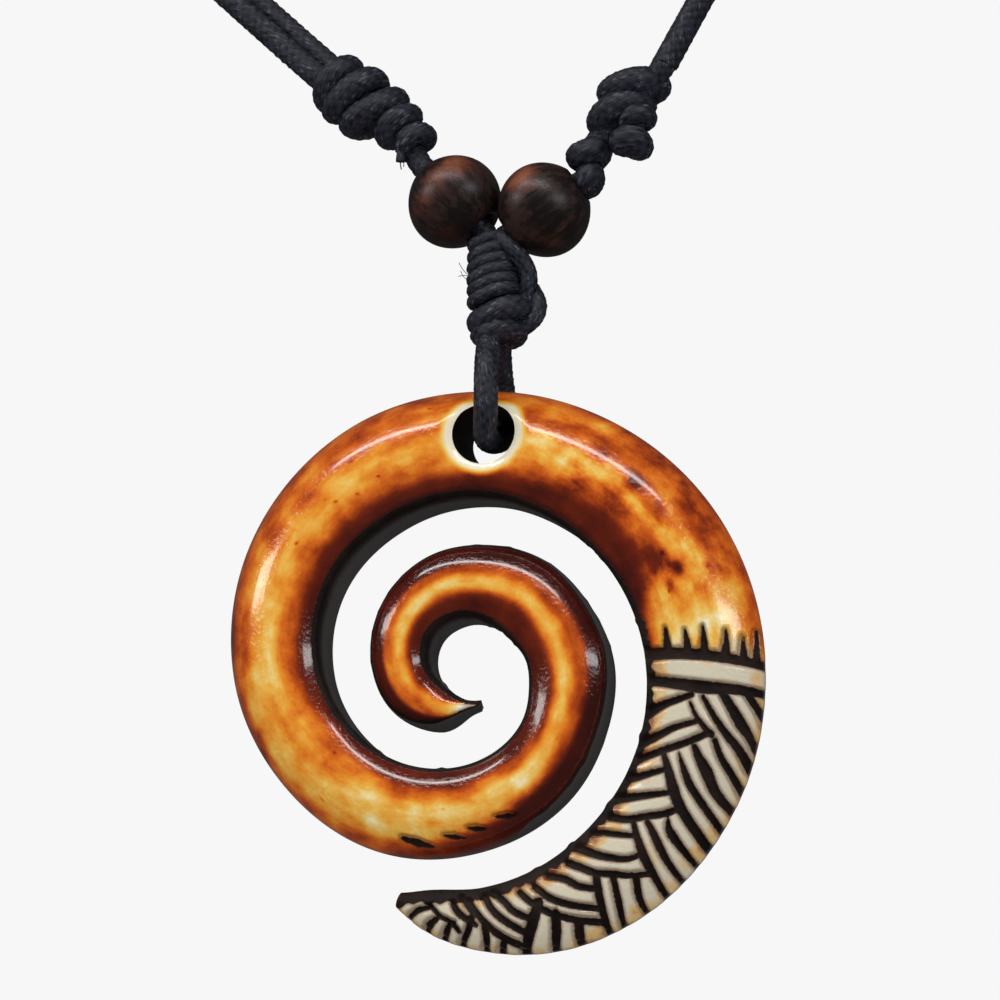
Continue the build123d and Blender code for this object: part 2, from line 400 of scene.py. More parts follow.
@dataclass
class Form:
    """Points in millimetres, faces, and a number for each point under each mark's name."""

    points: Array
    faces: list[tuple[int, ...]]
    marks: dict[str, Array]

    @staticmethod
    def joined(forms: "list[Form]") -> "Form":
        """Several forms as one, which all have the same marks.

        Args:
            forms: The forms, in the order of their points in the new one.

        Returns:
            The new form.
        """
        faces: list[tuple[int, ...]] = []
        start = 0
        for form in forms:
            faces += [tuple(start + i for i in face) for face in form.faces]
            start += len(form.points)
        marks = {name: np.concatenate([f.marks[name] for f in forms]) for name in forms[0].marks}
        return Form(np.concatenate([f.points for f in forms]), faces, marks)

    def mesh(self, name: str) -> bpy.types.Mesh:
        """A smooth-shaded mesh in metres, with its marks and outward faces.

        Args:
            name: The mesh's name.

        Returns:
            The new mesh.
        """
        made = bpy.data.meshes.new(name)
        made.from_pydata((self.points * MM).tolist(), [], self.faces)
        for mark, numbers in self.marks.items():
            store(made, mark, numbers)
        shaped = bmesh.new()
        shaped.from_mesh(made)
        bmesh.ops.recalc_face_normals(shaped, faces=shaped.faces)
        shaped.to_mesh(made)
        shaped.free()
        made.shade_smooth()
        return made


def store(mesh: bpy.types.Mesh, mark: str, numbers: Array) -> None:
    """Keep one number for each point of a mesh under a name."""
    kept = mesh.attributes.new(mark, "FLOAT", "POINT")
    kept.data.foreach_set("value", np.asarray(numbers, np.float32))


def add_piece(
    mesh: bpy.types.Mesh,
    material: bpy.types.Material,
    body: Body,
    nodes: tuple[str, ...] = (),
) -> bpy.types.Object:
    """Put a mesh in the scene as a piece of the object.

    Args:
        mesh: The piece's mesh; its name becomes the piece's.
        material: Its finish.
        body: The body that it moves with.
        nodes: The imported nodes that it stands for.

    Returns:
        The new object.
    """
    mesh.materials.clear()
    mesh.materials.append(material)
    piece = bpy.data.objects.new(mesh.name, mesh)
    bpy.context.scene.collection.objects.link(piece)
    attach(piece, body.value)
    if nodes:
        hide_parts(*nodes)
    log.info("%s: %d faces, rides on %s", mesh.name, len(mesh.polygons), body.value)
    return piece


def ring_faces(rows: int, ring: int) -> list[tuple[int, ...]]:
    """Quads between neighbouring rows of a tube, each row a closed ring of points.

    Args:
        rows: How many rows the tube has.
        ring: How many points each row has.

    Returns:
        The corners of each quad.
    """
    row, step = np.meshgrid(np.arange(rows - 1), np.arange(ring), indexing="ij")
    after = (step + 1) % ring
    here, later = row * ring, (row + 1) * ring
    corners = (here + step, here + after, later + after, later + step)
    return [tuple(face) for face in np.stack(corners, axis=-1).reshape(-1, 4).tolist()]


def end_faces(rows: int, ring: int) -> list[tuple[int, ...]]:
    """The two closing faces of a tube, each with as many corners as its ring."""
    last = (rows - 1) * ring
    return [tuple(range(ring)), tuple(range(last, last + ring))]


def smooth_step(low: float, high: float, value: Array) -> Array:
    """0 under low, 1 over high, and a smooth step in between."""
    share = np.clip((value - low) / (high - low), 0, 1)
    return share * share * (3 - 2 * share)


def soft_table(rows: Array, place: Array) -> Array:
    """A table's columns read between its rows along smooth cubic pieces.

    Args:
        rows: The table, whose first column rises.
        place: Where to read it, in its first column's own unit.

    Returns:
        One row of the other columns for each place.
    """
    key, columns = rows[:, 0], rows[:, 1:]
    slope = np.gradient(columns, key, axis=0)
    index = np.clip(np.searchsorted(key, place, side="right") - 1, 0, len(key) - 2)
    run = (key[index + 1] - key[index])[:, None]
    t = np.clip((place - key[index])[:, None] / run, 0, 1)
    low, high = columns[index], columns[index + 1]
    rise, fall = slope[index] * run, slope[index + 1] * run
    bend = (2 * t**3 - 3 * t**2 + 1) * low + (t**3 - 2 * t**2 + t) * rise
    return bend + (3 * t**2 - 2 * t**3) * high + (t**3 - t**2) * fall


def spline_points(controls: list[Point], step: float) -> Array:
    """Points a step apart along the smooth spline that a route's points control.

    Args:
        controls: The route's points.
        step: The distance between points, in the route's unit.

    Returns:
        The points, one in each row.
    """
    curve = bpy.data.curves.new("route", "CURVE")
    curve.dimensions = "3D"
    curve.resolution_u = 32
    spline = curve.splines.new("NURBS")
    spline.points.add(len(controls) - 1)
    for point, place in zip(spline.points, controls):
        point.co = (*place, 1.0)
    spline.order_u = 3
    spline.use_endpoint_u = True
    holder = bpy.data.objects.new("route", curve)
    bpy.context.scene.collection.objects.link(holder)
    bpy.context.view_layer.update()
    mesh = bpy.data.meshes.new_from_object(holder)
    line = np.array([vertex.co for vertex in mesh.vertices], float)
    bpy.data.objects.remove(holder)
    bpy.data.curves.remove(curve)
    bpy.data.meshes.remove(mesh)
    return even_steps(line, step)


def even_steps(line: Array, step: float) -> Array:
    """A line's points again, about a step apart.

    Args:
        line: Points along the line.
        step: The wanted distance between points.

    Returns:
        The new points, from the same start to the same end.
    """
    runs = np.linalg.norm(np.diff(line, axis=0), axis=1)
    reached = np.concatenate([[0.0], np.cumsum(runs)])
    wanted = np.linspace(0, reached[-1], max(3, round(reached[-1] / step) + 1))
    return np.stack([np.interp(wanted, reached, line[:, i]) for i in range(3)], axis=1)


def carried_frames(line: Array) -> tuple[Array, Array]:
    """Two directions square to a line at each of its points, carried along without a twist.

    Args:
        line: Points along the line.

    Returns:
        The first direction and the second, each one in a row.
    """
    way = np.gradient(line, axis=0)
    way /= np.linalg.norm(way, axis=1)[:, None]
    side = np.array((0.0, 1.0, 0.0))
    sides = []
    for direction in way:
        side = side - direction * (side @ direction)
        side = side / np.linalg.norm(side)
        sides.append(side)
    sides = np.array(sides)
    return sides, np.cross(way, sides)


@dataclass(frozen=True)
class Plait:
    """How a cord is plaited, in millimetres.

    Its strands run both ways round it, so many each way, and over one lay a strand moves round by
    its own width. Fuzz is how far loose fibres blur the relief, twist is how far the fibres turn in
    a millimetre, in radians, and a knot's turns waver by that share of their cord's radius.
    """

    strands: int = 6
    lay: float = 0.80
    relief: float = 0.11
    fuzz: float = 0.014
    fuzz_seed: int = 11
    twist: float = 0.55
    waver: float = 0.12
    step: float = 0.15
    sides: int = 32

    def height(self, around: Array, along: Array) -> Array:
        """Height of the plait, from 0 in its valleys to 1 on its crowns.

        Args:
            around: Share of the way round the cord.
            along: Length along it.

        Returns:
            One height for each place on the cord's skin.
        """
        up = self.strands * around + along / self.lay
        down = self.strands * around - along / self.lay
        rising = np.sqrt(np.clip(1 - (2 * (up % 1) - 1) ** 2, 0, 1))
        falling = np.sqrt(np.clip(1 - (2 * (down % 1) - 1) ** 2, 0, 1))
        over = 0.6 + 0.4 * np.sin(np.pi * (down + np.floor(up)))
        under = 0.6 - 0.4 * np.sin(np.pi * (up + np.floor(down)))
        return np.maximum(rising * over, falling * under)

    def sweep(
        self,
        line: Array,
        side: Array,
        rise: Array,
        radius: float,
        stretch: float = 1.0,
    ) -> Form:
        """A plaited skin round a line, open at its ends.

        Args:
            line: Points a step apart, in millimetres.
            side: A direction square to the line at each point.
            rise: The direction square to both.
            radius: The cord's radius.
            stretch: How much longer than drawn the plait's lay is.

        Returns:
            The skin, with its relief as a mark.
        """
        runs = np.linalg.norm(np.diff(line, axis=0), axis=1)
        along = np.concatenate([[0.0], np.cumsum(runs)])[:, None] / stretch
        around = (np.arange(self.sides) / self.sides)[None, :]
        height = self.height(around, along)
        fuzz = np.random.default_rng(self.fuzz_seed).normal(0.0, self.fuzz, height.shape)
        reach = radius + (self.relief * (height - 1.0) + fuzz) * min(1.0, radius)
        turn = 2 * np.pi * around
        out = np.cos(turn)[..., None] * side[:, None] + np.sin(turn)[..., None] * rise[:, None]
        points = line[:, None] + out * reach[..., None]
        lay = turn + self.twist * along
        marks = {
            "relief": height.ravel(),
            "thread_x": (radius * np.cos(lay)).ravel(),
            "thread_y": (radius * np.sin(lay)).ravel(),
            "run": np.broadcast_to(along, height.shape).ravel() + float(line[0, 0]),
        }
        return Form(points.reshape(-1, 3), ring_faces(len(line), self.sides), marks)

    def tube(self, line: Array, radius: float) -> Form:
        """A plaited cord along an open line, with its ends closed.

        Args:
            line: Points a step apart, in millimetres.
            radius: The cord's radius.

        Returns:
            The closed form.
        """
        form = self.sweep(line, *carried_frames(line), radius)
        form.faces += end_faces(len(line), self.sides)
        return form

    def wrap(self, row: tuple[float, ...]) -> Form:
        """One closed turn of cord round a knot, from a row of a knot's table.

        Args:
            row: The columns that KNOT_TURNS names.

        Returns:
            The closed ring of cord.
        """
        x, y, z, tilt, reach, depth, radius = row
        count = max(16, round(2 * math.pi * max(reach, depth) / self.step))
        turn = np.linspace(0, 2 * math.pi, count + 1)
        lean = math.radians(tilt)
        slope = np.array((math.cos(lean), 0.0, math.sin(lean)))
        up = np.array((-math.sin(lean), 0.0, math.cos(lean)))
        front = np.array((0.0, -1.0, 0.0))
        aside = np.outer(np.cos(turn) * reach, slope)
        forward = np.outer(np.sin(turn) * depth, front)
        line = np.array((x, y, z)) + aside + forward
        line += np.outer(self.waver * radius * np.sin(2 * turn + x), up)
        length = np.linalg.norm(np.diff(line, axis=0), axis=1).sum()
        laps = max(1, round(length / self.lay))
        way = np.gradient(line, axis=0)
        way[0] = way[-1] = line[1] - line[-2]
        way /= np.linalg.norm(way, axis=1)[:, None]
        side = np.cross(way, up)
        side /= np.linalg.norm(side, axis=1)[:, None]
        form = self.sweep(line, side, np.cross(way, side), radius, length / (laps * self.lay))
        kept = count * self.sides
        form.points = form.points[:kept]
        form.marks = {name: numbers[:kept] for name, numbers in form.marks.items()}
        form.faces = [tuple(i % kept for i in face) for face in form.faces]
        return form


@dataclass
class Studio:
    """Camera, floor and soft lights, with the view of the photograph."""

    target: Point = (0.275, 0.0, -186.30)
    azimuth: float = 15.0
    elevation: float = -13.0
    distance: float = 420.0
    pixels_a_mm: float = 12.0
    image_pixels: int = 1000
    sensor: float = 36.0
    floor_drop: float = 1.75
    floor_reach: float = 6.0
    room_glow: float = 0.42
    mirrored_glow: float = 0.06
    seen_glow: float = 1.0

    def back(self) -> Vector:
        """Direction from the object to the camera.

        Returns:
            A vector of length 1.
        """
        turn, rise = math.radians(self.azimuth), math.radians(self.elevation)
        level = math.cos(rise)
        return Vector((math.sin(turn) * level, -math.cos(turn) * level, math.sin(rise)))

    def add_camera(self) -> None:
        """The camera at the photograph's viewing angle."""
        data = bpy.data.cameras.new("camera")
        data.sensor_width = self.sensor
        data.lens = self.sensor * self.pixels_a_mm * self.distance / self.image_pixels
        data.clip_start = 0.01
        data.clip_end = 50.0
        camera = bpy.data.objects.new("camera", data)
        camera.rotation_mode = "QUATERNION"
        camera.location = (Vector(self.target) + self.back() * self.distance) * MM
        camera.rotation_quaternion = (-self.back()).to_track_quat("-Z", "Y")
        bpy.context.scene.collection.objects.link(camera)
        bpy.context.scene.camera = camera

    def add_light(
        self,
        name: str,
        place: Point,
        size: tuple[float, float],
        glow: float,
        tint: Colour,
        mirrored: bool = True,
    ) -> None:
        """One soft area light that looks at the pendant.

        Args:
            name: The light's name.
            place: Where it stands, in metres.
            size: Its width and height in metres.
            glow: How bright its face is, whatever its size.
            tint: Its colour.
            mirrored: Whether glossy surfaces show it.
        """
        data = bpy.data.lights.new(name, "AREA")
        data.shape = "RECTANGLE"
        data.size, data.size_y = size
        data.energy = glow * math.pi * size[0] * size[1]
        data.color = tint
        light = bpy.data.objects.new(name, data)
        light.location = place
        light.visible_glossy = mirrored
        aim = Vector(self.target) * MM - Vector(place)
        light.rotation_mode = "QUATERNION"
        light.rotation_quaternion = aim.to_track_quat("-Z", "Y")
        bpy.context.scene.collection.objects.link(light)

    def add_lights(self) -> None:
        """A strip above, a window at each side, and a room that is paler than it glows."""
        world = bpy.data.worlds.new("pale_room")
        g = Graph(world)
        seen = g.node("ShaderNodeLightPath", out="Is Camera Ray")
        mirrored = g.node("ShaderNodeLightPath", out="Is Glossy Ray")
        glow = self.room_glow + seen * (self.seen_glow - self.room_glow)
        glow = glow + mirrored * (self.mirrored_glow - self.room_glow)
        room = g.node("ShaderNodeBackground", values={"Color": (0.93, 0.93, 0.93), "Strength": glow})
        g.node("ShaderNodeOutputWorld", values={"Surface": room})
        bpy.context.scene.world = world
        bpy.context.scene.view_settings.view_transform = "Standard"
        self.add_light("strip_above", (-0.08, -0.42, 0.40), (0.9, 0.065), 14.5, (1.0, 0.96, 0.94))
        self.add_light("window_left", (-0.745, -0.495, 0.13), (0.36, 0.14), 8.0, (1.0, 0.99, 0.97))
        self.add_light("window_right", (0.80, -0.57, 0.13), (0.48, 0.14), 7.5, (0.97, 0.98, 1.0))
        self.add_light("paper_below", (0.20, -0.80, -0.85), (0.9, 0.7), 1.3, (1.0, 1.0, 1.0), False)

    def add_floor(self) -> None:
        """A plain pale floor, far enough down for views from below."""
        mesh = bpy.data.meshes.new("floor")
        reach = self.floor_reach
        corners = [(-reach, -reach), (reach, -reach), (reach, reach), (-reach, reach)]
        mesh.from_pydata([(x, y, -self.floor_drop) for x, y in corners], [], [(0, 1, 2, 3)])
        paint = Surface("pale_floor").finish(Base_Color=(0.86, 0.86, 0.86), Roughness=0.9)
        mesh.materials.append(paint)
        floor = bpy.data.objects.new("floor", mesh)
        floor.visible_glossy = False
        bpy.context.scene.collection.objects.link(floor)


@dataclass
class NeckCords:
    """The doubled neck cord: two strands a side, from the large knots up to the nape."""

    diameter: float = 2.1
    plait: Plait = Plait()

    def routes(self) -> dict[str, list[Point]]:
        """Control points of each strand, as in the part's source, in metres."""
        return {
            "neck_cord_left_outer": [
                (-0.0153, -0.0007, -0.1487), (-0.0229, -0.0007, -0.1415), (-0.0370, -0.0007, -0.1272),
                (-0.0506, -0.0006, -0.1090), (-0.0607, -0.0004, -0.0878), (-0.0653, 0.0000, -0.0644),
                (-0.0627, 0.0003, -0.0404), (-0.0524, 0.0002, -0.0190), (-0.0362, 0.0000, -0.0033),
                (-0.0188, -0.0001, 0.0033), (-0.0065, 0.0000, 0.0043),
            ],
            "neck_cord_left_inner": [
                (-0.0143, 0.0009, -0.1476), (-0.0219, 0.0009, -0.1404), (-0.0357, 0.0009, -0.1265),
                (-0.0492, 0.0008, -0.1085), (-0.0590, 0.0006, -0.0874), (-0.0630, 0.0002, -0.0646),
                (-0.0602, -0.0002, -0.0414), (-0.0505, -0.0001, -0.0209), (-0.0349, 0.0001, -0.0056),
                (-0.0182, 0.0001, 0.0008), (-0.0065, 0.0000, 0.0018),
            ],
            "neck_cord_right_outer": [
                (0.0150, -0.0011, -0.1499), (0.0191, -0.0012, -0.1426), (0.0268, -0.0012, -0.1301),
                (0.0384, -0.0010, -0.1108), (0.0519, -0.0008, -0.0867), (0.0617, -0.0006, -0.0634),
                (0.0637, -0.0004, -0.0396), (0.0544, -0.0002, -0.0176), (0.0377, 0.0000, -0.0028),
                (0.0193, 0.0001, 0.0033), (0.0065, 0.0000, 0.0043),
            ],
            "neck_cord_right_inner": [
                (0.0141, 0.0012, -0.1494), (0.0183, 0.0013, -0.1420), (0.0259, 0.0012, -0.1297),
                (0.0371, 0.0011, -0.1105), (0.0502, 0.0009, -0.0864), (0.0596, 0.0007, -0.0632),
                (0.0614, 0.0005, -0.0404), (0.0526, 0.0003, -0.0194), (0.0364, 0.0001, -0.0052),
                (0.0187, -0.0001, 0.0008), (0.0065, 0.0000, 0.0018),
            ],
        }

    def build(self, finish: bpy.types.Material, closure: bpy.types.Object) -> None:
        """Add the four strands.

        Args:
            finish: The cord's material.
            closure: The knot at their far ends, which goes with them; not used.
        """
        for name, route in self.routes().items():
            line = spline_points(route, self.plait.step * MM) / MM
            form = self.plait.tube(line, self.diameter / 2)
            piece = add_piece(form.mesh(name), finish, Body.NECKLACE, (name,))


# Turns of cord in each knot. Columns: x, y and z of the turn's centre, tilt of its front above the
# level in degrees, half its length, half its depth, and the cord's radius.
KNOT_TURNS = {
    "centre_knot": [
        (-0.60, 0.0, -164.00, 10, 1.35, 1.30, 0.62),
        (-0.50, 0.0, -164.95, 12, 1.50, 1.40, 0.63),
        (-0.40, 0.0, -165.90, 11, 1.62, 1.50, 0.62),
        (-0.30, 0.0, -166.85, 13, 1.74, 1.60, 0.64),
        (-0.20, 0.0, -167.80, 12, 1.82, 1.70, 0.62),
        (-0.12, 0.0, -168.75, 14, 1.88, 1.75, 0.64),
        (0.38, 0.0, -170.55, 14, 1.92, 1.75, 1.10),
        (0.20, 0.0, -172.00, 4, 1.50, 1.65, 0.95),
    ],
    "side_knot_left": [
        (-14.10, 0.0, -148.85, 52, 1.72, 1.75, 1.12),
        (-12.55, 0.0, -150.10, 33, 2.15, 1.90, 1.15),
        (-10.80, 0.0, -151.80, 26, 2.20, 1.80, 1.12),
        (-8.65, -0.1, -153.05, 40, 1.35, 1.45, 1.05),
        (-7.20, 0.0, -154.45, 28, 0.95, 1.20, 1.00),
    ],
    "side_knot_right": [
        (11.95, 0.0, -151.40, 6, 2.10, 1.90, 1.12),
        (10.85, 0.0, -153.45, 22, 2.05, 1.90, 1.12),
        (12.35, -0.7, -154.25, 8, 0.80, 1.05, 0.95),
        (11.85, -0.5, -156.30, -10, 0.72, 1.15, 1.18),
        (8.10, 0.0, -156.90, 22, 0.95, 1.25, 1.12),
        (8.00, 0.0, -159.10, 60, 0.75, 1.00, 1.00),
    ],
    "closure_knot": [(-5.1 + 1.7 * i, 0.0, 3.05, 85, 2.15, 2.15, 0.94) for i in range(7)],
}

# Stretches of cord in each knot: the cord's radius, then points along it.
KNOT_STRANDS = {
    "centre_knot": [
        (1.50, (0.2, 0.0, -172.6), (0.0, 0.0, -168.5), (-0.55, 0.0, -163.7)),
        (0.75, (0.5, -0.9, -163.8), (1.6, -1.4, -164.7), (2.7, -1.0, -166.2), (3.1, -0.5, -167.7),
         (2.5, 0.0, -169.2)),
        (0.72, (2.2, 0.9, -167.2), (3.2, 0.5, -168.5), (3.8, -0.1, -170.0), (3.2, -0.4, -171.4),
         (1.7, -0.4, -172.1)),
        (0.03, (-2.1, -0.4, -166.9), (-2.7, -0.5, -166.7), (-3.15, -0.6, -165.7)),
        (0.03, (-2.1, -0.4, -167.0), (-2.6, -0.5, -166.7), (-3.2, -0.6, -166.9)),
        (0.025, (-2.1, -0.4, -167.3), (-2.8, -0.5, -167.2), (-3.0, -0.6, -166.4)),
    ],
    "side_knot_left": [
        (1.45, (-7.6, 0.1, -154.6), (-8.7, 0.0, -153.2), (-10.9, 0.0, -151.7), (-13.6, 0.0, -149.2)),
        (1.02, (-7.5, 0.1, -155.6), (-7.4, 0.1, -154.9), (-7.7, 0.1, -154.2)),
        (1.02, (-13.2, -0.4, -150.2), (-14.6, -0.7, -149.3), (-16.6, -0.7, -147.5)),
        (1.02, (-12.4, 0.7, -149.4), (-13.7, 0.9, -148.2), (-15.6, 0.9, -146.4)),
        (0.42, (-7.9, -0.7, -154.6), (-8.2, -0.9, -155.6), (-8.25, -0.8, -156.5)),
        (0.05, (-8.2, -0.9, -155.9), (-8.3, -0.9, -156.7), (-8.15, -0.9, -157.2)),
        (0.04, (-8.0, -0.9, -155.9), (-7.9, -0.9, -156.6), (-7.95, -0.9, -157.0)),
    ],
    "side_knot_right": [
        (1.30, (8.1, 0.0, -157.2), (9.2, 0.0, -155.6), (10.8, 0.0, -154.0), (12.4, 0.0, -151.6)),
        (1.05, (7.9, -0.1, -159.9), (7.8, -0.1, -158.8), (8.2, 0.0, -157.0)),
        (1.02, (12.4, -0.7, -152.2), (14.0, -1.1, -151.4), (15.6, -1.1, -148.8)),
        (1.02, (12.4, 0.9, -151.8), (13.3, 1.2, -151.0), (14.8, 1.2, -148.1)),
        (0.95, (11.4, -0.7, -156.2), (12.0, -1.1, -155.3), (12.6, -0.6, -154.2)),
    ],
    "closure_knot": [(2.2, (-6.3, 0.0, 3.05), (0.0, 0.0, 3.05), (6.3, 0.0, 3.05))],
    "hanging_loop": [
        (1.05, (-0.4, -0.6, -171.6), (-0.35, -1.5, -173.4), (0.0, -3.4, -175.6), (0.1, -3.85, -177.8),
         (0.05, -3.8, -180.2), (-0.50, -2.0, -181.6), (-0.25, 1.6, -181.0), (0.15, 4.3, -179.2),
         (-0.7, 4.5, -175.8), (-0.6, 3.2, -173.8), (-0.2, 1.4, -172.0)),
    ],
    "bead_cord_left": [
        (1.02, (-0.3, 0.1, -164.4), (-1.1, 0.1, -162.7), (-6.2, 0.1, -157.7), (-7.4, 0.1, -155.4)),
    ],
    "bead_cord_right": [
        (1.02, (0.0, -0.1, -164.2), (1.1, -0.1, -163.3), (7.1, -0.1, -159.6), (8.0, -0.1, -158.8)),
    ],
}


@dataclass
class Knots:
    """The knots, the loop that carries the koru and the cords through the beads."""

    plait: Plait = Plait(lay=0.7, relief=0.10, twist=0.3, step=0.12, sides=28)

    def form(self, name: str) -> Form:
        """All turns and stretches of cord of one node.

        Args:
            name: The node's name in the tables.

        Returns:
            The node's form.
        """
        turns = [self.plait.wrap(row) for row in KNOT_TURNS.get(name, [])]
        strands = [
            self.plait.tube(spline_points(list(points), self.plait.step), radius)
            for radius, *points in KNOT_STRANDS[name]
        ]
        return Form.joined(turns + strands)

    def build(self, finish: bpy.types.Material) -> bpy.types.Object:
        """Add every knot and stretch.

        Args:
            finish: The cord's material.

        Returns:
            The closure, which goes with the neck cords.
        """
        pieces = {
            name: add_piece(self.form(name).mesh(name), finish, Body.NECKLACE, (name,))
            for name in KNOT_STRANDS
        }
        return pieces["closure_knot"]


@dataclass
class Bead:
    """A turned wood bead on its cord, whose way its hole follows.

    Its sides stop at a share of the full ball's height, and its lathe left it a little uneven. Each
    spot of wear and painted highlight is its place right of and above the centre as seen from the
    front, its reach, and how strongly the wood shows through; the spots are painted on the front half
    only.
    """

    name: str
    centre: Point
    way: Point
    diameter: float = 8.1
    length: float = 7.1
    hole: float = 1.25
    lip: float = 0.45
    lip_depth: float = 0.25
    ball_share: float = 0.985
    uneven: float = 0.008
    sides: int = 96
    belly_rings: int = 61
    bore_rings: int = 9
    rubbed: tuple[tuple[float, float, float, float], ...] = ()

    def outline(self) -> Array:
        """Its section from the hole's foot round the belly and back down the bore.

        Returns:
            Radius and height along the hole, in millimetres.
        """
        half, mouth = self.length / 2, self.hole + self.lip
        swing = np.linspace(-1, 1, self.belly_rings)
        belly = swing * math.asin(min(1.0, half / (self.diameter / 2) * self.ball_share))
        share = np.cos(belly)
        low = share.min()
        radius = mouth + (self.diameter / 2 - mouth) * (share - low) / (1 - low)
        axial = half * np.sin(belly) / np.sin(belly).max()
        bore = np.linspace(half - self.lip_depth, -half + self.lip_depth, self.bore_rings)
        return np.concatenate([
            np.column_stack([radius, axial]),
            np.column_stack([np.full(self.bore_rings, self.hole), bore]),
        ])

    def build(self, finish: bpy.types.Material) -> None:
        """Turn the bead and set it on its cord.

        Args:
            finish: The wood's material.
        """
        outline = self.outline()
        around = np.arange(self.sides) / self.sides * 2 * np.pi
        radius, axial = outline[:, 0][:, None], outline[:, 1][:, None]
        uneven = 1 + self.uneven * np.sin(3 * around + axial * 0.4)
        local = np.stack([
            radius * np.cos(around) * uneven,
            radius * np.sin(around) * uneven,
            np.broadcast_to(axial, uneven.shape),
        ], axis=-1).reshape(-1, 3)
        turn = np.array(Vector(self.way).normalized().to_track_quat("Z", "Y").to_matrix())
        quads = ring_faces(len(outline) + 1, self.sides)
        faces = [tuple(i % len(local) for i in face) for face in quads]
        marks = {f"local_{letter}": local[:, i] + self.centre[0] for i, letter in enumerate("xyz")}
        turned = local @ turn.T
        # Spots of wear and painted highlight, strongest near the top and painted on the front half only.
        wear_and_highlight_sum = sum(
            strength * np.exp(-((turned[:, 0] - right) ** 2 + (turned[:, 2] - up) ** 2) / reach**2)
            for right, up, reach, strength in self.rubbed
        )
        marks["rubbed"] = wear_and_highlight_sum * smooth_step(1.5, -1.0, turned[:, 1])
        form = Form(turned + np.array(self.centre), faces, marks)
        add_piece(form.mesh(self.name), finish, Body.NECKLACE, (self.name,))


BEADS = [
    Bead(
        name="bead_left",
        centre=(-3.71, 0.1, -160.11),
        way=(-0.716, 0.0, 0.698),
        rubbed=(
            (0.8, 2.3, 1.4, 1.00),
            (-1.0, 1.1, 1.3, 0.50),
            (-2.3, -0.7, 1.3, 0.52),
            (0.2, -2.0, 1.0, 0.15),
        ),
    ),
    Bead(
        name="bead_right",
        centre=(4.14, -0.1, -161.46),
        way=(0.848, 0.0, 0.530),
        rubbed=(
            (-1.0, 2.3, 1.4, 0.90),
            (-1.9, 1.3, 1.0, 0.45),
            (0.5, 0.9, 0.9, 0.20),
            (2.0, -1.8, 1.2, 0.28),
        ),
    ),
]

# Rows of the spiral band. Columns: turn in degrees about the curl's centre, inner edge, outer edge
# (shares of the reach), thickness and height of the outer edge (shares of the thickness).
BAND = np.array([
    (-111, 0.815, 0.850, 0.40, 0.26),
    (-105, 0.785, 0.890, 0.50, 0.31),
    (-90, 0.760, 0.950, 0.62, 0.37),
    (-75, 0.730, 0.988, 0.68, 0.40),
    (-60, 0.694, 1.000, 0.73, 0.42),
    (-30, 0.625, 0.976, 0.80, 0.44),
    (0, 0.565, 0.940, 0.88, 0.46),
    (30, 0.532, 0.923, 0.95, 0.48),
    (60, 0.536, 0.923, 1.00, 0.50),
    (90, 0.568, 0.935, 1.00, 0.50),
    (120, 0.593, 0.956, 1.00, 0.50),
    (150, 0.597, 0.935, 1.00, 0.50),
    (180, 0.556, 0.875, 1.00, 0.50),
    (210, 0.480, 0.790, 0.98, 0.52),
    (240, 0.403, 0.698, 0.96, 0.56),
    (270, 0.337, 0.600, 0.94, 0.62),
    (300, 0.270, 0.520, 0.93, 0.66),
    (330, 0.202, 0.452, 0.92, 0.68),
    (360, 0.153, 0.415, 0.92, 0.68),
    (390, 0.129, 0.395, 0.92, 0.68),
    (420, 0.129, 0.395, 0.92, 0.68),
    (450, 0.149, 0.395, 0.92, 0.68),
    (480, 0.185, 0.403, 0.90, 0.68),
    (510, 0.206, 0.395, 0.88, 0.67),
    (540, 0.190, 0.371, 0.86, 0.66),
    (570, 0.153, 0.335, 0.83, 0.64),
    (590, 0.141, 0.278, 0.80, 0.62),
    (610, 0.133, 0.202, 0.74, 0.60),
    (630, 0.125, 0.141, 0.66, 0.56),
])

# How far the carved band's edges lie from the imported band's, in millimetres. Columns: turn, inner edge
# and outer edge, each more than 0 where it lies further from the curl's centre.
SWELL = np.array([
    (-111, -0.25, 0.25),
    (-90, -0.32, 0.12),
    (-60, -0.42, 0.15),
    (-30, -0.37, 0.20),
    (0, -0.20, 0.15),
    (30, -0.05, 0.08),
    (60, -0.10, 0.08),
    (90, -0.10, 0.42),
    (120, -0.05, 0.65),
    (150, 0.12, 0.65),
    (180, 0.05, 0.45),
    (210, 0.00, 0.20),
    (240, 0.00, 0.42),
    (270, -0.15, 0.47),
    (300, -0.20, 0.52),
    (330, -0.27, 0.42),
    (360, 0.00, 0.42),
    (390, -0.12, 0.17),
    (420, -0.12, 0.25),
    (450, -0.05, 0.40),
    (480, -0.05, 0.63),
    (510, 0.00, 0.65),
    (540, 0.00, 0.52),
    (570, -0.05, 0.12),
    (590, -0.12, -0.15),
    (610, 0.00, -0.45),
    (630, 0.00, 0.00),
])

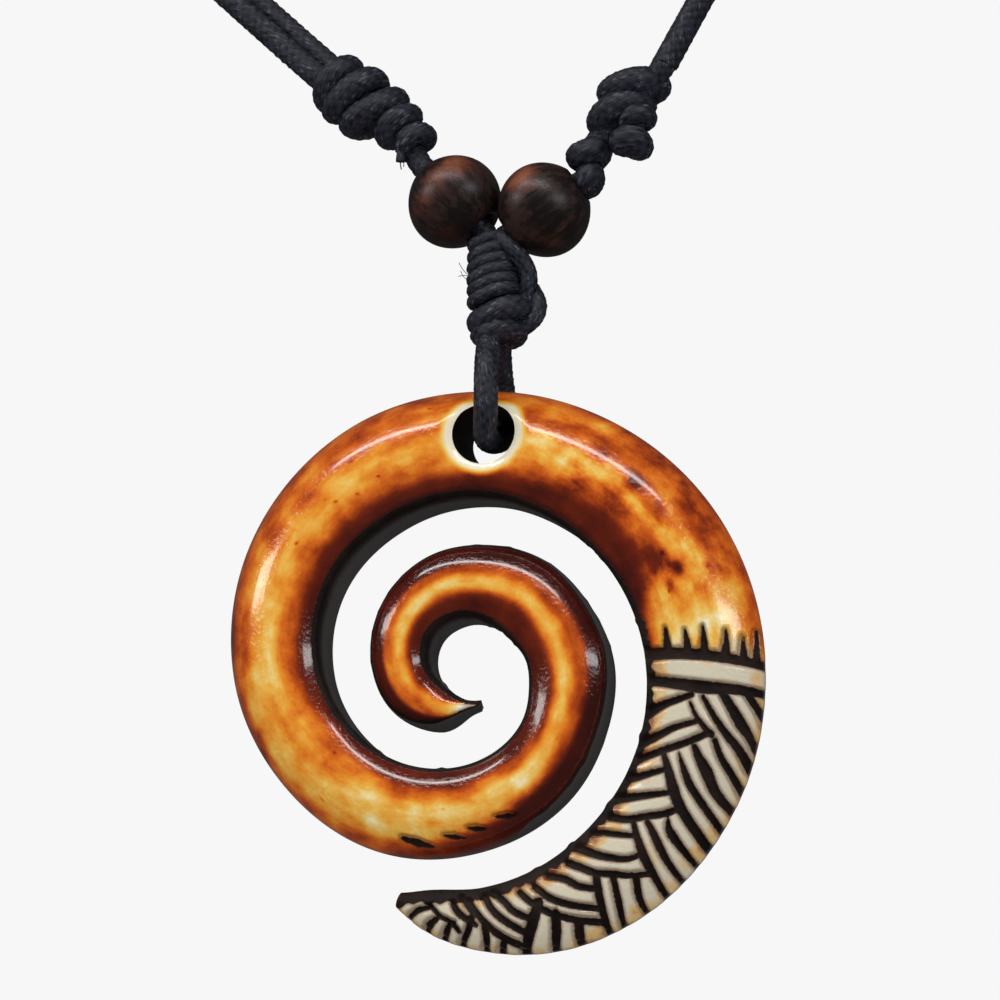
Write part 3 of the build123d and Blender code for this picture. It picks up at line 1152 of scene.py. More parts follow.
# The stain along the band. Columns: turn, share across where the dark inner pool ends, where the
# golden lane starts and ends, the lane's tone, the tone beside it (0 black-brown, 1 ivory), share
# where the outer edge's stain starts, and that stain's tone.
STAIN = np.array([
    (-6, 0.06, 0.20, 0.90, 0.86, 0.64, 0.96, 0.52),
    (5, 0.09, 0.22, 0.88, 0.78, 0.56, 0.95, 0.48),
    (12, 0.12, 0.28, 0.84, 0.72, 0.52, 0.94, 0.44),
    (20, 0.18, 0.34, 0.80, 0.62, 0.42, 0.90, 0.40),
    (30, 0.27, 0.50, 0.66, 0.62, 0.37, 0.88, 0.38),
    (40, 0.31, 0.47, 0.62, 0.62, 0.37, 0.86, 0.37),
    (50, 0.31, 0.46, 0.62, 0.59, 0.38, 0.86, 0.37),
    (60, 0.28, 0.41, 0.60, 0.68, 0.41, 0.88, 0.38),
    (70, 0.24, 0.34, 0.64, 0.66, 0.43, 0.90, 0.40),
    (88, 0.20, 0.30, 0.70, 0.62, 0.50, 0.94, 0.44),
    (100, 0.19, 0.38, 0.76, 0.62, 0.47, 0.92, 0.44),
    (115, 0.20, 0.34, 0.62, 0.66, 0.47, 0.88, 0.44),
    (130, 0.21, 0.32, 0.58, 0.70, 0.48, 0.88, 0.43),
    (145, 0.21, 0.34, 0.60, 0.73, 0.47, 0.88, 0.42),
    (158, 0.21, 0.38, 0.72, 0.70, 0.46, 0.88, 0.40),
    (172, 0.21, 0.36, 0.64, 0.73, 0.45, 0.88, 0.38),
    (185, 0.21, 0.38, 0.78, 0.72, 0.48, 0.90, 0.40),
    (200, 0.16, 0.34, 0.86, 0.68, 0.52, 0.92, 0.42),
    (215, 0.18, 0.38, 0.88, 0.65, 0.52, 0.93, 0.40),
    (230, 0.25, 0.42, 0.88, 0.78, 0.50, 0.93, 0.38),
    (245, 0.29, 0.45, 0.86, 0.80, 0.48, 0.92, 0.32),
    (260, 0.30, 0.45, 0.82, 0.76, 0.46, 0.90, 0.22),
    (275, 0.28, 0.44, 0.78, 0.79, 0.48, 0.86, 0.16),
    (290, 0.27, 0.44, 0.70, 0.79, 0.41, 0.82, 0.11),
    (305, 0.28, 0.44, 0.68, 0.75, 0.38, 0.81, 0.09),
    (320, 0.30, 0.44, 0.64, 0.73, 0.34, 0.81, 0.08),
    (340, 0.33, 0.43, 0.60, 0.74, 0.33, 0.83, 0.08),
    (360, 0.34, 0.42, 0.59, 0.75, 0.35, 0.84, 0.08),
    (390, 0.34, 0.40, 0.58, 0.77, 0.35, 0.81, 0.08),
    (420, 0.32, 0.38, 0.57, 0.79, 0.35, 0.76, 0.09),
    (450, 0.30, 0.36, 0.56, 0.78, 0.36, 0.73, 0.09),
    (480, 0.29, 0.36, 0.54, 0.86, 0.38, 0.72, 0.09),
    (510, 0.28, 0.34, 0.55, 0.77, 0.41, 0.77, 0.12),
    (530, 0.27, 0.35, 0.52, 0.74, 0.41, 0.76, 0.11),
    (550, 0.24, 0.34, 0.48, 0.71, 0.40, 0.74, 0.10),
    (570, 0.20, 0.29, 0.45, 0.68, 0.39, 0.72, 0.09),
    (590, 0.19, 0.28, 0.56, 0.80, 0.50, 0.70, 0.07),
    (605, 0.17, 0.22, 0.60, 0.98, 0.68, 0.66, 0.06),
    (630, 0.10, 0.20, 0.62, 1.00, 0.80, 0.64, 0.05),
])

# Blots and freckles of the stain. Columns: turn, share across, half its length and half its width in
# millimetres, and how much lighter the stain is there.
BLOTS = [
    (22.4, 0.52, 0.70, 0.42, -0.42), (18.7, 0.40, 0.62, 0.38, -0.38), (25.5, 0.47, 1.0, 0.35, -0.16),
    (29.0, 0.40, 1.4, 0.60, -0.13), (32.0, 0.24, 1.8, 0.70, -0.12), (15.5, 0.68, 0.9, 0.28, -0.12),
    (36.0, 0.60, 1.7, 0.40, -0.12), (46.0, 0.72, 2.4, 0.40, -0.10), (51.0, 0.38, 2.0, 0.50, -0.10),
    (24.0, 0.80, 1.6, 0.30, -0.10), (58.0, 0.80, 2.0, 0.35, -0.07), (108.0, 0.60, 1.2, 0.40, -0.08),
    (9.0, 0.60, 1.3, 0.80, 0.10), (12.0, 0.28, 1.0, 0.40, 0.10), (33.0, 0.72, 2.6, 0.28, 0.12),
    (27.0, 0.66, 1.4, 0.25, 0.10), (44.0, 0.55, 1.8, 0.38, 0.13), (60.5, 0.53, 1.5, 0.60, 0.13),
    (66.0, 0.40, 0.7, 0.90, 0.12), (75.5, 0.52, 1.4, 1.20, 0.20), (104.0, 0.45, 1.4, 0.50, 0.05),
    (119.0, 0.50, 1.6, 0.40, 0.06), (128.0, 0.46, 1.8, 0.55, 0.08), (136.0, 0.42, 1.3, 0.45, 0.08),
    (149.0, 0.50, 1.4, 0.45, 0.09), (158.5, 0.68, 1.6, 0.70, 0.16), (171.0, 0.46, 1.9, 0.55, 0.11),
    (181.0, 0.52, 1.5, 0.70, 0.09), (192.0, 0.72, 1.0, 0.60, 0.09), (203.0, 0.44, 1.6, 0.60, 0.08),
    (214.0, 0.60, 1.8, 0.70, 0.06), (236.0, 0.72, 2.4, 0.80, 0.07), (250.0, 0.55, 1.6, 0.50, 0.06),
    (270.0, 0.62, 1.8, 0.60, 0.06), (285.0, 0.58, 1.8, 0.45, 0.07), (301.0, 0.56, 1.4, 0.40, 0.05),
    (333.0, 0.55, 1.4, 0.35, 0.06), (372.0, 0.52, 1.3, 0.30, 0.05), (410.0, 0.48, 1.8, 0.30, 0.06),
    (446.0, 0.46, 1.2, 0.30, 0.05), (478.0, 0.48, 1.6, 0.32, 0.08), (534.0, 0.46, 1.1, 0.30, 0.06),
    (131.9, 0.41, 0.15, 0.12, -0.45), (146.4, 0.46, 0.17, 0.13, -0.45), (118.8, 0.36, 0.13, 0.11, -0.40),
    (122.9, 0.64, 0.26, 0.20, -0.22), (27.8, 0.46, 0.15, 0.13, -0.35), (20.6, 0.75, 0.14, 0.12, -0.35),
    (17.5, 0.37, 0.13, 0.12, -0.35), (133.1, 0.50, 0.12, 0.11, -0.38), (143.8, 0.55, 0.11, 0.10, -0.30),
    (196.0, 0.90, 0.20, 0.12, -0.30), (220.0, 0.80, 0.24, 0.10, -0.32), (212.0, 0.30, 0.18, 0.16, -0.25),
    (292.0, 0.85, 0.30, 0.14, -0.28), (297.0, 0.86, 0.20, 0.14, -0.28), (258.0, 0.54, 0.16, 0.10, -0.22),
    (126.0, 0.33, 0.16, 0.12, -0.30), (102.0, 0.86, 0.20, 0.12, -0.20), (60.0, 0.36, 0.16, 0.12, -0.28),
]

# The carved strokes of the woven tail, in turn from the neck end to the tip. Each row has the
# stroke's width in millimetres at its start, middle and end, then its points (turn, share across).
STROKES = [
    (0.40, 0.65, 0.80, (-11, 0.52), (-15, 0.64), (-18, 0.77), (-20, 0.89), (-23, 1.02)),
    (0.65, 0.95, 0.40, (-9, 0.68), (-12, 0.77), (-15, 0.87), (-17, 0.95), (-20, 1.03)),
    (0.60, 0.60, 0.40, (-8, 0.87), (-10, 0.94), (-12, 1.00), (-14, 1.04)),
    (0.25, 0.45, 0.60, (-13, 0.41), (-16, 0.48), (-18, 0.57), (-19, 0.64)),
    (0.50, 0.60, 0.65, (-20, 0.68), (-23, 0.77), (-25, 0.88), (-28, 1.04)),
    (0.50, 1.00, 0.70, (-23, 0.52), (-25, 0.59), (-27, 0.69), (-30, 0.83), (-32, 1.05)),
    (0.15, 0.70, 0.60, (-26, 0.40), (-28, 0.46), (-31, 0.58), (-33, 0.73), (-36, 1.03)),
    (0.45, 0.95, 0.80, (-28, 0.26), (-31, 0.36), (-34, 0.47), (-37, 0.64), (-40, 1.00)),
    (0.50, 0.70, 0.85, (-11, 0.42), (-14, 0.21), (-16, 0.10), (-19, -0.02)),
    (0.45, 0.65, 0.85, (-17, 0.50), (-20, 0.31), (-23, 0.18), (-26, 0.06), (-28, -0.02)),
    (0.60, 0.60, 0.60, (-19, 0.61), (-23, 0.43), (-27, 0.24), (-32, 0.03)),
    (0.45, 0.60, 0.75, (-31, 0.33), (-34, 0.20), (-37, 0.08), (-39, -0.02)),
    (0.42, 0.60, 0.75, (-35, 0.48), (-38, 0.33), (-41, 0.19), (-45, 0.02)),
    (0.60, 0.60, 0.65, (-37, 0.61), (-40, 0.52), (-43, 0.39), (-47, 0.24), (-50, 0.07)),
    (0.20, 0.80, 0.45, (-40, 0.56), (-42, 0.64), (-43, 0.78), (-44, 1.02)),
    (0.45, 0.70, 0.50, (-44, 0.42), (-45, 0.54), (-47, 0.78), (-48, 1.03)),
    (0.40, 0.80, 0.55, (-46, 0.28), (-48, 0.41), (-50, 0.62), (-51, 0.80), (-52, 1.01)),
    (0.45, 0.50, 0.50, (-49, 0.38), (-51, 0.28), (-54, 0.13), (-57, 0.02)),
    (0.45, 0.60, 0.75, (-50, 0.58), (-53, 0.52), (-56, 0.39), (-59, 0.23), (-62, 0.05)),
    (0.50, 0.60, 0.65, (-51, 0.78), (-55, 0.65), (-58, 0.52), (-61, 0.41), (-63, 0.29), (-66, 0.12)),
    (0.65, 0.60, 0.45, (-54, 0.70), (-56, 0.86), (-57, 1.04)),
    (0.55, 0.60, 0.50, (-58, 0.55), (-60, 0.80), (-62, 1.02)),
    (0.65, 0.70, 0.60, (-61, 0.42), (-63, 0.68), (-65, 1.03)),
    (0.50, 0.55, 0.60, (-60, 0.45), (-63, 0.30), (-66, 0.12)),
    (0.55, 0.62, 0.60, (-62, 0.58), (-66, 0.42), (-68, 0.28), (-72, 0.12)),
    (0.55, 0.62, 0.60, (-64, 0.75), (-69, 0.58), (-73, 0.40), (-76, 0.18)),
    (0.60, 0.60, 0.55, (-65, 0.88), (-70, 0.73), (-74, 0.57), (-77, 0.41), (-80, 0.18)),
    (0.80, 0.85, 0.70, (-69, 0.78), (-70, 0.90), (-71, 1.04)),
    (0.80, 0.85, 0.70, (-73, 0.60), (-74, 0.79), (-76, 1.02)),
    (0.90, 1.00, 0.80, (-76, 0.40), (-78, 0.60), (-80, 0.80), (-82, 1.03)),
    (0.60, 0.60, 0.55, (-78, 0.60), (-82, 0.43), (-84, 0.26), (-87, 0.06)),
    (0.60, 0.62, 0.55, (-80, 0.76), (-84, 0.57), (-87, 0.36), (-89, 0.10)),
    (0.60, 0.62, 0.55, (-81, 0.93), (-84, 0.84), (-87, 0.70), (-90, 0.48), (-93, 0.18)),
    (0.60, 0.70, 0.60, (-85, 0.80), (-86, 0.93), (-87, 1.04)),
    (0.60, 0.65, 0.60, (-89, 0.62), (-89, 0.83), (-90, 1.03)),
    (0.60, 0.65, 0.60, (-92, 0.50), (-93, 0.74), (-95, 1.02)),
    (0.35, 0.45, 0.30, (-92, 0.40), (-95, 0.06)),
    (0.45, 0.62, 0.45, (-91, 0.62), (-95, 0.43), (-97, 0.22)),
    (0.40, 0.40, 0.35, (-95, 0.77), (-96, 0.69), (-98, 0.58)),
    (0.40, 0.55, 0.50, (-102, 0.38), (-105, 0.58), (-107, 0.92)),
    (0.40, 0.40, 0.35, (-102, 0.38), (-100, 0.54), (-98, 0.60), (-96, 0.62)),
    (0.45, 0.75, 0.60, (-100, 0.60), (-102, 0.84), (-103, 1.03)),
    (0.45, 0.70, 0.60, (-97, 0.64), (-98, 0.86), (-99, 1.02)),
]

# Two grooves and six comb ticks, in the same columns.
LINES = [
    (1.05, 0.95, 0.75, (0.5, -0.03), (0, 0.25), (-0.6, 0.50), (-1.3, 0.75), (-2, 1.06)),
    (0.75, 1.10, 0.65, (-8, -0.03), (-8.5, 0.25), (-8.7, 0.50), (-8, 0.78), (-7.5, 1.06)),
    (0.24, 0.55, 0.90, (7.6, 0.23), (3.8, 0.22), (0.3, 0.21)),
    (0.24, 0.55, 0.85, (6.1, 0.40), (2.8, 0.40), (-0.5, 0.39)),
    (0.24, 0.55, 0.85, (6.5, 0.56), (3.0, 0.55), (-0.8, 0.54)),
    (0.24, 0.55, 0.85, (5.2, 0.74), (2.0, 0.73), (-0.8, 0.71)),
    (0.24, 0.45, 0.70, (3.7, 0.87), (1.3, 0.86), (-1.0, 0.86)),
    (0.22, 0.45, 0.60, (5.2, 0.97), (2.0, 0.96), (-1.0, 0.95)),
]

# Four small cuts near the foot of the ring, in the same columns.
DASHES = [
    (0.34, 0.66, 0.10, (246.2, 0.87), (251.0, 0.91), (256.5, 0.965)),
    (0.20, 0.46, 0.10, (259.0, 0.85), (262.5, 0.885), (266.0, 0.925)),
    (0.20, 0.50, 0.10, (267.0, 0.82), (270.0, 0.86), (273.5, 0.90)),
    (0.20, 0.50, 0.10, (277.0, 0.81), (281.0, 0.86), (284.5, 0.915)),
]

# All cuts, each table with the turns that it lies between.
CUTS = [(STROKES + LINES, -112, 14), (DASHES, 240, 290)]

# How finely a cut's line is drawn, how far from its middle it can reach and the distance that stands
# for none near, both in millimetres.
STROKE_STEPS = 14
STROKE_REACH = 7.5
NO_CUT = 9.0

# Turns between which the mesh's rows lie closest, as on all that is carved there, and how far to each
# side of the hole's turn they lie closer than elsewhere.
CARVED_TURNS = [(-112, 12), (244, 286)]
HOLE_HALF_TURN = 13

# Points of a section's inner wall, face, outer side, back corner and back. Columns: points that draw
# the part, and points that the mesh keeps of it.
SECTION_POINTS = [(60, 12), (260, 68), (90, 16), (12, 3), (90, 10)]

# Points of a section while its corners are rounded, and steps that measure the band's length.
EVEN_POINTS = 480
LENGTH_STEPS = 742

# How the hole flares at the koru's back. Columns: how much wider than the hole there, and how far
# behind the back face, both in millimetres.
FLARE = [(0.15, -0.2), (0.55, 0.1), (1.2, 3.1)]

# Width of the black edge along the slit's near side. Columns: turn, width in millimetres.
BLACK_EDGE = np.array([
    (-95, 1.25),
    (-80, 1.05),
    (-60, 0.90),
    (-20, 0.80),
    (8, 0.75),
    (30, 0.40),
])


@dataclass
class Koru:
    """The carved spiral pendant, drilled at its top and hanging from the hole.

    Its lengths are in millimetres, its turns and its lean in degrees, and its tones go from 0,
    black-brown, to 1, ivory. The shape's other fields are shares of the band's width or height.
    """

    reach: float = 24.8
    thickness: float = 6.2
    inner_wall: float = 0.78
    crown_place: float = 0.45
    back_round: float = 0.10
    back_round_limit: float = 0.33
    rim_inset: float = 0.33
    wall_drop: float = 0.42
    edge_drop: float = 0.5
    crisp_round: float = 0.5
    crisp_share: float = 0.2
    rolled_round: float = 2.6
    rolled_share: float = 0.4
    shoulder_share: float = 0.30
    shoulder_reach: float = 0.3
    tip_cut: float = 17.0
    lean: float = 0.804
    drop: float = 181.0

    hole_turn: float = 87.8
    hole_radius: float = 2.7
    hole_bridge: float = 1.2
    hole_aside: float = -0.5
    hole_behind: float = 2.1
    behind_aside: float = -0.62
    rim_depth: float = 0.60
    rim_slope: float = 0.65
    rim_blend: float = 0.7
    rim_give: float = 0.2
    heel_depth: float = 0.45
    bore_lead: float = 0.2
    bore_step: float = 0.08
    bore_rows: int = 14

    carve_depth: float = 0.42
    ridge_round: float = 0.22
    chips: int = 210
    chip_seed: int = 7
    chip_turns_near: Pair = (-85, 560)
    chip_turns_far: Pair = (290, 560)
    chip_lift: Pair = (0.15, 0.80)
    chip_size: Pair = (0.22, 0.45)
    chip_height: Pair = (0.05, 0.14)
    chip_reach_turn: float = 9

    fine_step: float = 0.16
    hole_step: float = 0.18
    plain_step: float = 0.30
    drill_sides: int = 128

    ivory_tone: float = 0.98
    back_tone: float = 0.62
    pool_tone: float = 0.16
    edge_tone: float = 0.02
    lane_shade: float = 0.03

    def columns(self, turn: Array) -> Array:
        """Inner edge, outer edge, height and outer edge's height at each turn, in mm."""
        swell = soft_table(SWELL, np.asarray(turn, float))
        return self.packed_columns(turn) + np.pad(swell, ((0, 0), (0, 2)))

    def packed_columns(self, turn: Array) -> Array:
        """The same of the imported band, whose edges the tables' shares across lie between."""
        sizes = (self.reach, self.reach, self.thickness, self.thickness)
        return soft_table(BAND, np.asarray(turn, float)) * sizes

    def hole_place(self) -> Pair:
        """The hole's centre from the curl's centre, in the band's own plane.

        Returns:
            Its distances to the right and up, in millimetres.
        """
        angle = math.radians(self.hole_turn)
        outer = np.interp(self.hole_turn, BAND[:, 0], BAND[:, 2]) * self.reach
        radius = outer - self.hole_bridge - self.hole_radius
        return radius * math.cos(angle), radius * math.sin(angle)

    def hang(self, x: Array, y: Array, z: Array) -> Array:
        """Points of the band's plane where they hang, in the row's frame.

        Args:
            x: Distance to the right of the curl's centre.
            y: Depth behind the band's middle.
            z: Distance above the curl's centre.

        Returns:
            One point in each row, in millimetres.
        """
        hole_x, hole_z = self.hole_place()
        turn = math.radians(self.lean)
        east, up = x - hole_x, z - hole_z
        return np.stack([
            east * math.cos(turn) + up * math.sin(turn),
            y,
            up * math.cos(turn) - east * math.sin(turn) - self.drop,
        ], axis=-1)

    def unhang(self, points: Array) -> tuple[Array, Array, Array]:
        """Turn, radius and height above the back of points in the row's frame.

        Args:
            points: One point in each row, in millimetres.

        Returns:
            The turn on the lap of the spiral that each point lies on, its radius and its height.
        """
        hole_x, hole_z = self.hole_place()
        turn = math.radians(self.lean)
        east, up = points[:, 0], points[:, 2] + self.drop
        x = east * math.cos(turn) - up * math.sin(turn) + hole_x
        z = east * math.sin(turn) + up * math.cos(turn) + hole_z
        radius = np.hypot(x, z)
        angle = np.degrees(np.arctan2(z, x))
        best, miss = angle.copy(), np.full(len(points), 1e9)
        for lap in (0, 360, 720):
            lapped = angle + lap
            held = np.clip(lapped, BAND[0, 0], BAND[-1, 0])
            near, far = self.columns(held)[:, :2].T
            off = np.maximum(0, np.maximum(near - radius, radius - far)) + abs(held - lapped)
            best = np.where(off < miss, held, best)
            miss = np.minimum(off, miss)
        return best, radius, self.thickness / 2 - points[:, 1]

    def turns(self) -> Array:
        """The turns of the mesh's rows, closer where it is carved and by the hole.

        Returns:
            Rising turns, from the tail's tip to the curl's tip.
        """
        turns = [float(BAND[0, 0])]
        while turns[-1] < BAND[-1, 0]:
            here = turns[-1]
            near, far = self.columns(np.array([here]))[0, :2]
            carved = any(low < here < high for low, high in CARVED_TURNS)
            by_hole = abs(here - self.hole_turn) < HOLE_HALF_TURN
            step = self.fine_step if carved else self.hole_step if by_hole else self.plain_step
            turns.append(here + math.degrees(step / (0.35 * near + 0.65 * far)))
        turns[-1] = float(BAND[-1, 0])
        return np.array(turns)

    @staticmethod
    def arc(start: Pair, middle: Pair, end: Pair, count: int) -> Array:
        """Points on the circle's arc through three points, without the last.

        Args:
            start: The arc's first point.
            middle: A point that it passes through.
            end: The arc's last point.
            count: How many points to give.

        Returns:
            One point in each row.
        """
        (x1, y1), (x2, y2), (x3, y3) = start, middle, end
        grid = np.array([[x2 - x1, y2 - y1], [x3 - x1, y3 - y1]]) * 2
        squares = np.array([
            x2**2 - x1**2 + y2**2 - y1**2,
            x3**2 - x1**2 + y3**2 - y1**2,
        ])
        centre = np.linalg.solve(grid, squares)
        first = math.atan2(y1 - centre[1], x1 - centre[0])
        last = math.atan2(y3 - centre[1], x3 - centre[0])
        while last > first:
            last -= 2 * math.pi
        angle = np.linspace(first, last, count, endpoint=False)
        radius = math.hypot(x1 - centre[0], y1 - centre[1])
        return centre + radius * np.column_stack([np.cos(angle), np.sin(angle)])

    def section(self, near: float, far: float, height: float, edge: float) -> Array:
        """One cut's outline, whose inner corner stays crisp and whose outer shoulder is rolled over.

        Args:
            near: Radius of its inner edge from the curl's centre.
            far: Radius of its outer edge.
            height: Its height above the back.
            edge: The outer edge's height above the back.

        Returns:
            Radius and height above the back, one point in each row and none of them twice.
        """
        width = far - near
        edge = max(edge, height - self.edge_drop * width)
        soften = min(self.back_round * width, self.back_round_limit * edge)
        rim = far - self.rim_inset * soften
        top = max(self.inner_wall * height, height - self.wall_drop * width)
        wall, face, side, corner, back = (sampled for sampled, _ in SECTION_POINTS)
        parts = [
            np.linspace((near, 0), (near, top), wall, endpoint=False),
            self.arc((near, top), (near + self.crown_place * width, height), (rim, edge), face),
            self.arc((rim, edge), (far, (edge + soften) / 2), (rim, soften), side),
            np.linspace((rim, soften), (far - soften, 0), corner, endpoint=False),
            np.linspace((far - soften, 0), (near, 0), back, endpoint=False),
        ]
        outline = np.concatenate(parts + [parts[0][:1]])
        reached = np.concatenate([[0], np.cumsum(np.linalg.norm(np.diff(outline, axis=0), axis=1))])
        ends = reached[np.cumsum([0] + [len(part) for part in parts])]
        even = np.linspace(0, reached[-1], EVEN_POINTS, endpoint=False)
        plain = np.stack([np.interp(even, reached, outline[:, i]) for i in (0, 1)], axis=1)
        step = reached[-1] / EVEN_POINTS
        crisp = self.rounded(plain, min(self.crisp_round, self.crisp_share * width) / step)
        rolled = self.rounded(plain, min(self.rolled_round, self.rolled_share * width) / step)
        shoulder = self.shoulder_share * width + self.shoulder_reach
        share = np.exp(-((even - ends[2]) / shoulder) ** 2)[:, None]
        smooth = crisp * (1 - share) + rolled * share
        wanted = np.concatenate([
            np.linspace(low, high, count, endpoint=False)
            for low, high, (_, count) in zip(ends, ends[1:], SECTION_POINTS)
        ])
        looped = np.concatenate([smooth, smooth[:1]])
        spread = np.linspace(0, reached[-1], EVEN_POINTS + 1)
        return np.stack([np.interp(wanted, spread, looped[:, i]) for i in (0, 1)], axis=1)

    @staticmethod
    def rounded(outline: Array, window: float) -> Array:
        """A closed outline averaged over so many of its points.

        Args:
            outline: One point in each row.
            window: How many points to average over.

        Returns:
            The rounded outline, of as many points.
        """
        count = max(1, int(window))
        kernel = np.hanning(count + 2)[1:-1]
        kernel /= kernel.sum()
        padded = np.concatenate([outline[-count:], outline, outline[:count]])
        columns = [np.convolve(padded[:, i], kernel, "same")[count:-count] for i in (0, 1)]
        return np.stack(columns, axis=1)

    def cut_distance(self, rows: list[tuple], turn: Array, radius: Array) -> Array:
        """How far points lie outside the nearest stroke's edge, in mm, less than 0 inside.

        Args:
            rows: Strokes in the columns that STROKES names.
            turn: Turn of each point.
            radius: Its radius from the curl's centre.

        Returns:
            One distance for each point.
        """
        angle = np.radians(turn)
        here = np.column_stack([radius * np.cos(angle), radius * np.sin(angle)])
        nearest = np.full(len(here), NO_CUT)
        for row in rows:
            widths, knots = row[:3], np.array(row[3:], float)
            share = np.linspace(0, 1, len(knots))
            dense = np.linspace(0, 1, STROKE_STEPS)
            knot_turn, across = soft_table(np.column_stack([share, knots]), dense).T
            near, far = self.packed_columns(knot_turn)[:, :2].T
            reach = near + across * (far - near)
            route_angle = np.radians(knot_turn)
            line = np.column_stack([reach * np.cos(route_angle), reach * np.sin(route_angle)])
            half = np.interp(dense, (0, 0.5, 1), widths) / 2
            close = np.where(np.linalg.norm(here - line.mean(0), axis=1) < STROKE_REACH)[0]
            for a, b, low, high in zip(line, line[1:], half, half[1:]):
                run = b - a
                along = np.clip((here[close] - a) @ run / (run @ run), 0, 1)
                gap = np.linalg.norm(here[close] - a - along[:, None] * run, axis=1)
                gap -= low + along * (high - low)
                nearest[close] = np.minimum(nearest[close], gap)
        return nearest

    def all_cuts(self, turn: Array, radius: Array) -> Array:
        """How far each point lies outside the nearest cut of the tail or of the ring, in mm.

        Args:
            turn: Turn of each point.
            radius: Its radius from the curl's centre.

        Returns:
            One distance for each point.
        """
        nearest = np.full(len(turn), NO_CUT)
        for rows, low, high in CUTS:
            here = (turn > low) & (turn < high)
            nearest[here] = self.cut_distance(rows, turn[here], radius[here])
        return nearest

    def points(self) -> tuple[Array, int, int]:
        """The carved band before it is drilled.

        Returns:
            Its points in millimetres where they hang, the number of rows, and of points a row.
        """
        turns = self.turns()
        cuts = np.array([self.section(*row) for row in self.columns(turns)])
        rows, ring = cuts.shape[:2]
        radius, rise = cuts[..., 0].copy(), cuts[..., 1].copy()
        turn = np.repeat(turns[:, None], ring, axis=1)
        near, far, height, _ = (column[:, None] for column in self.columns(turns).T)
        across = (radius - near) / (far - near)
        facing = smooth_step(0.22, 0.48, rise / height) * smooth_step(0.0, 0.4, radius - near)
        gap = self.all_cuts(turn.ravel(), radius.ravel()).reshape(turn.shape)
        depth = self.carve_depth * smooth_step(self.ridge_round, -0.16, gap) * facing
        depth -= self.chipped(turn, radius, rise / height, across)
        outward, upward = self.outward(radius, rise)
        radius -= outward * depth
        rise -= upward * depth
        undercut = self.tip_cut * (1 - rise / height) * smooth_step(588, 630, turn)
        angle = np.radians(turn - undercut)
        x, z = radius * np.cos(angle), radius * np.sin(angle)
        points = self.hang(x.ravel(), self.thickness / 2 - rise.ravel(), z.ravel())
        return points, rows, ring

    @staticmethod
    def outward(radius: Array, rise: Array) -> tuple[Array, Array]:
        """The direction out of each cut's outline at its points.

        Args:
            radius: Radius of each point, one outline in each row.
            rise: Its height above the back.

        Returns:
            The direction's shares along the radius and forward.
        """
        run = np.roll(radius, -1, axis=1) - np.roll(radius, 1, axis=1)
        climb = np.roll(rise, -1, axis=1) - np.roll(rise, 1, axis=1)
        length = np.hypot(run, climb)
        return -climb / length, run / length

    def chipped(self, turn: Array, radius: Array, share: Array, across: Array) -> Array:
        """How far the small burrs on the slit's two sawn walls stand proud, in mm.

        Args:
            turn: Turn of each point, one outline in each row.
            radius: Its radius from the curl's centre.
            share: Its share of the height at its turn.
            across: Its share of the way from the inner edge to the outer one.

        Returns:
            One height for each point.
        """
        dice = np.random.default_rng(self.chip_seed)
        proud = np.zeros(turn.shape)
        inner, outer = smooth_step(0.06, 0.0, across), smooth_step(0.93, 0.99, across)
        for index in range(self.chips):
            far_wall = index % 3 == 0
            at = dice.uniform(*(self.chip_turns_far if far_wall else self.chip_turns_near))
            lift = dice.uniform(*self.chip_lift)
            size = dice.uniform(*self.chip_size)
            high = dice.uniform(*self.chip_height)
            rows = np.abs(turn[:, 0] - at) < self.chip_reach_turn
            along = np.radians(turn[rows] - at) * radius[rows]
            up = (share[rows] - lift) * self.thickness
            wall = outer[rows] if far_wall else inner[rows]
            high *= 0.5 if far_wall else 1.0
            proud[rows] += high * wall * np.exp(-(along**2 + up**2) / size**2)
        return proud

    def soften_rim(self, points: Array) -> Array:
        """Sink the face round the hole to its countersunk rim.

        Args:
            points: The band's points in millimetres where they hang, changed in place.

        Returns:
            The same points.
        """
        span = np.hypot(points[:, 0] - self.hole_aside, points[:, 2] + self.drop)
        cone = -self.thickness / 2 + self.rim_depth - self.rim_slope * (span - self.hole_radius)
        front = points[:, 1] < 0
        close = self.rim_blend
        blend = np.clip((cone - points[:, 1]) / close, -1, 1)
        rounded = points[:, 1] + close * (blend + 1) ** 2 / 4
        sunk = np.where(blend >= 1, cone, rounded)
        deepest = -self.thickness / 2 + self.rim_depth + self.rim_give
        rim = np.maximum(points[:, 1], np.minimum(sunk, deepest))
        points[:, 1] = np.where(front, rim, points[:, 1])
        return points

    def drill(self) -> bpy.types.Mesh:
        """The rod that the hole is cut with, flared at the back.

        Returns:
            Its closed mesh.
        """
        sides, half = self.drill_sides, self.thickness
        front, back = self.rim_depth - half / 2, half / 2
        wall = [front - self.bore_lead + self.bore_step * i for i in range(self.bore_rows)]
        wall += [0.0, back - self.heel_depth]
        share = np.interp(wall, (front, back), (0.0, 1.0))
        taper = self.hole_behind - self.hole_radius
        profile = [(self.hole_radius, -half, 0.0)]
        profile += [(self.hole_radius + s * taper, y, s) for y, s in zip(wall, share)]
        profile += [(self.hole_behind + wider, back + behind, 1.0) for wider, behind in FLARE]
        around = np.arange(sides) / sides * 2 * np.pi
        shift = self.behind_aside - self.hole_aside
        points = np.array([
            (radius * math.cos(a) + self.hole_aside + s * shift, y, radius * math.sin(a) - self.drop)
            for radius, y, s in profile for a in around
        ])
        faces = ring_faces(len(profile), sides) + end_faces(len(profile), sides)
        return Form(points, faces, {}).mesh("drill")

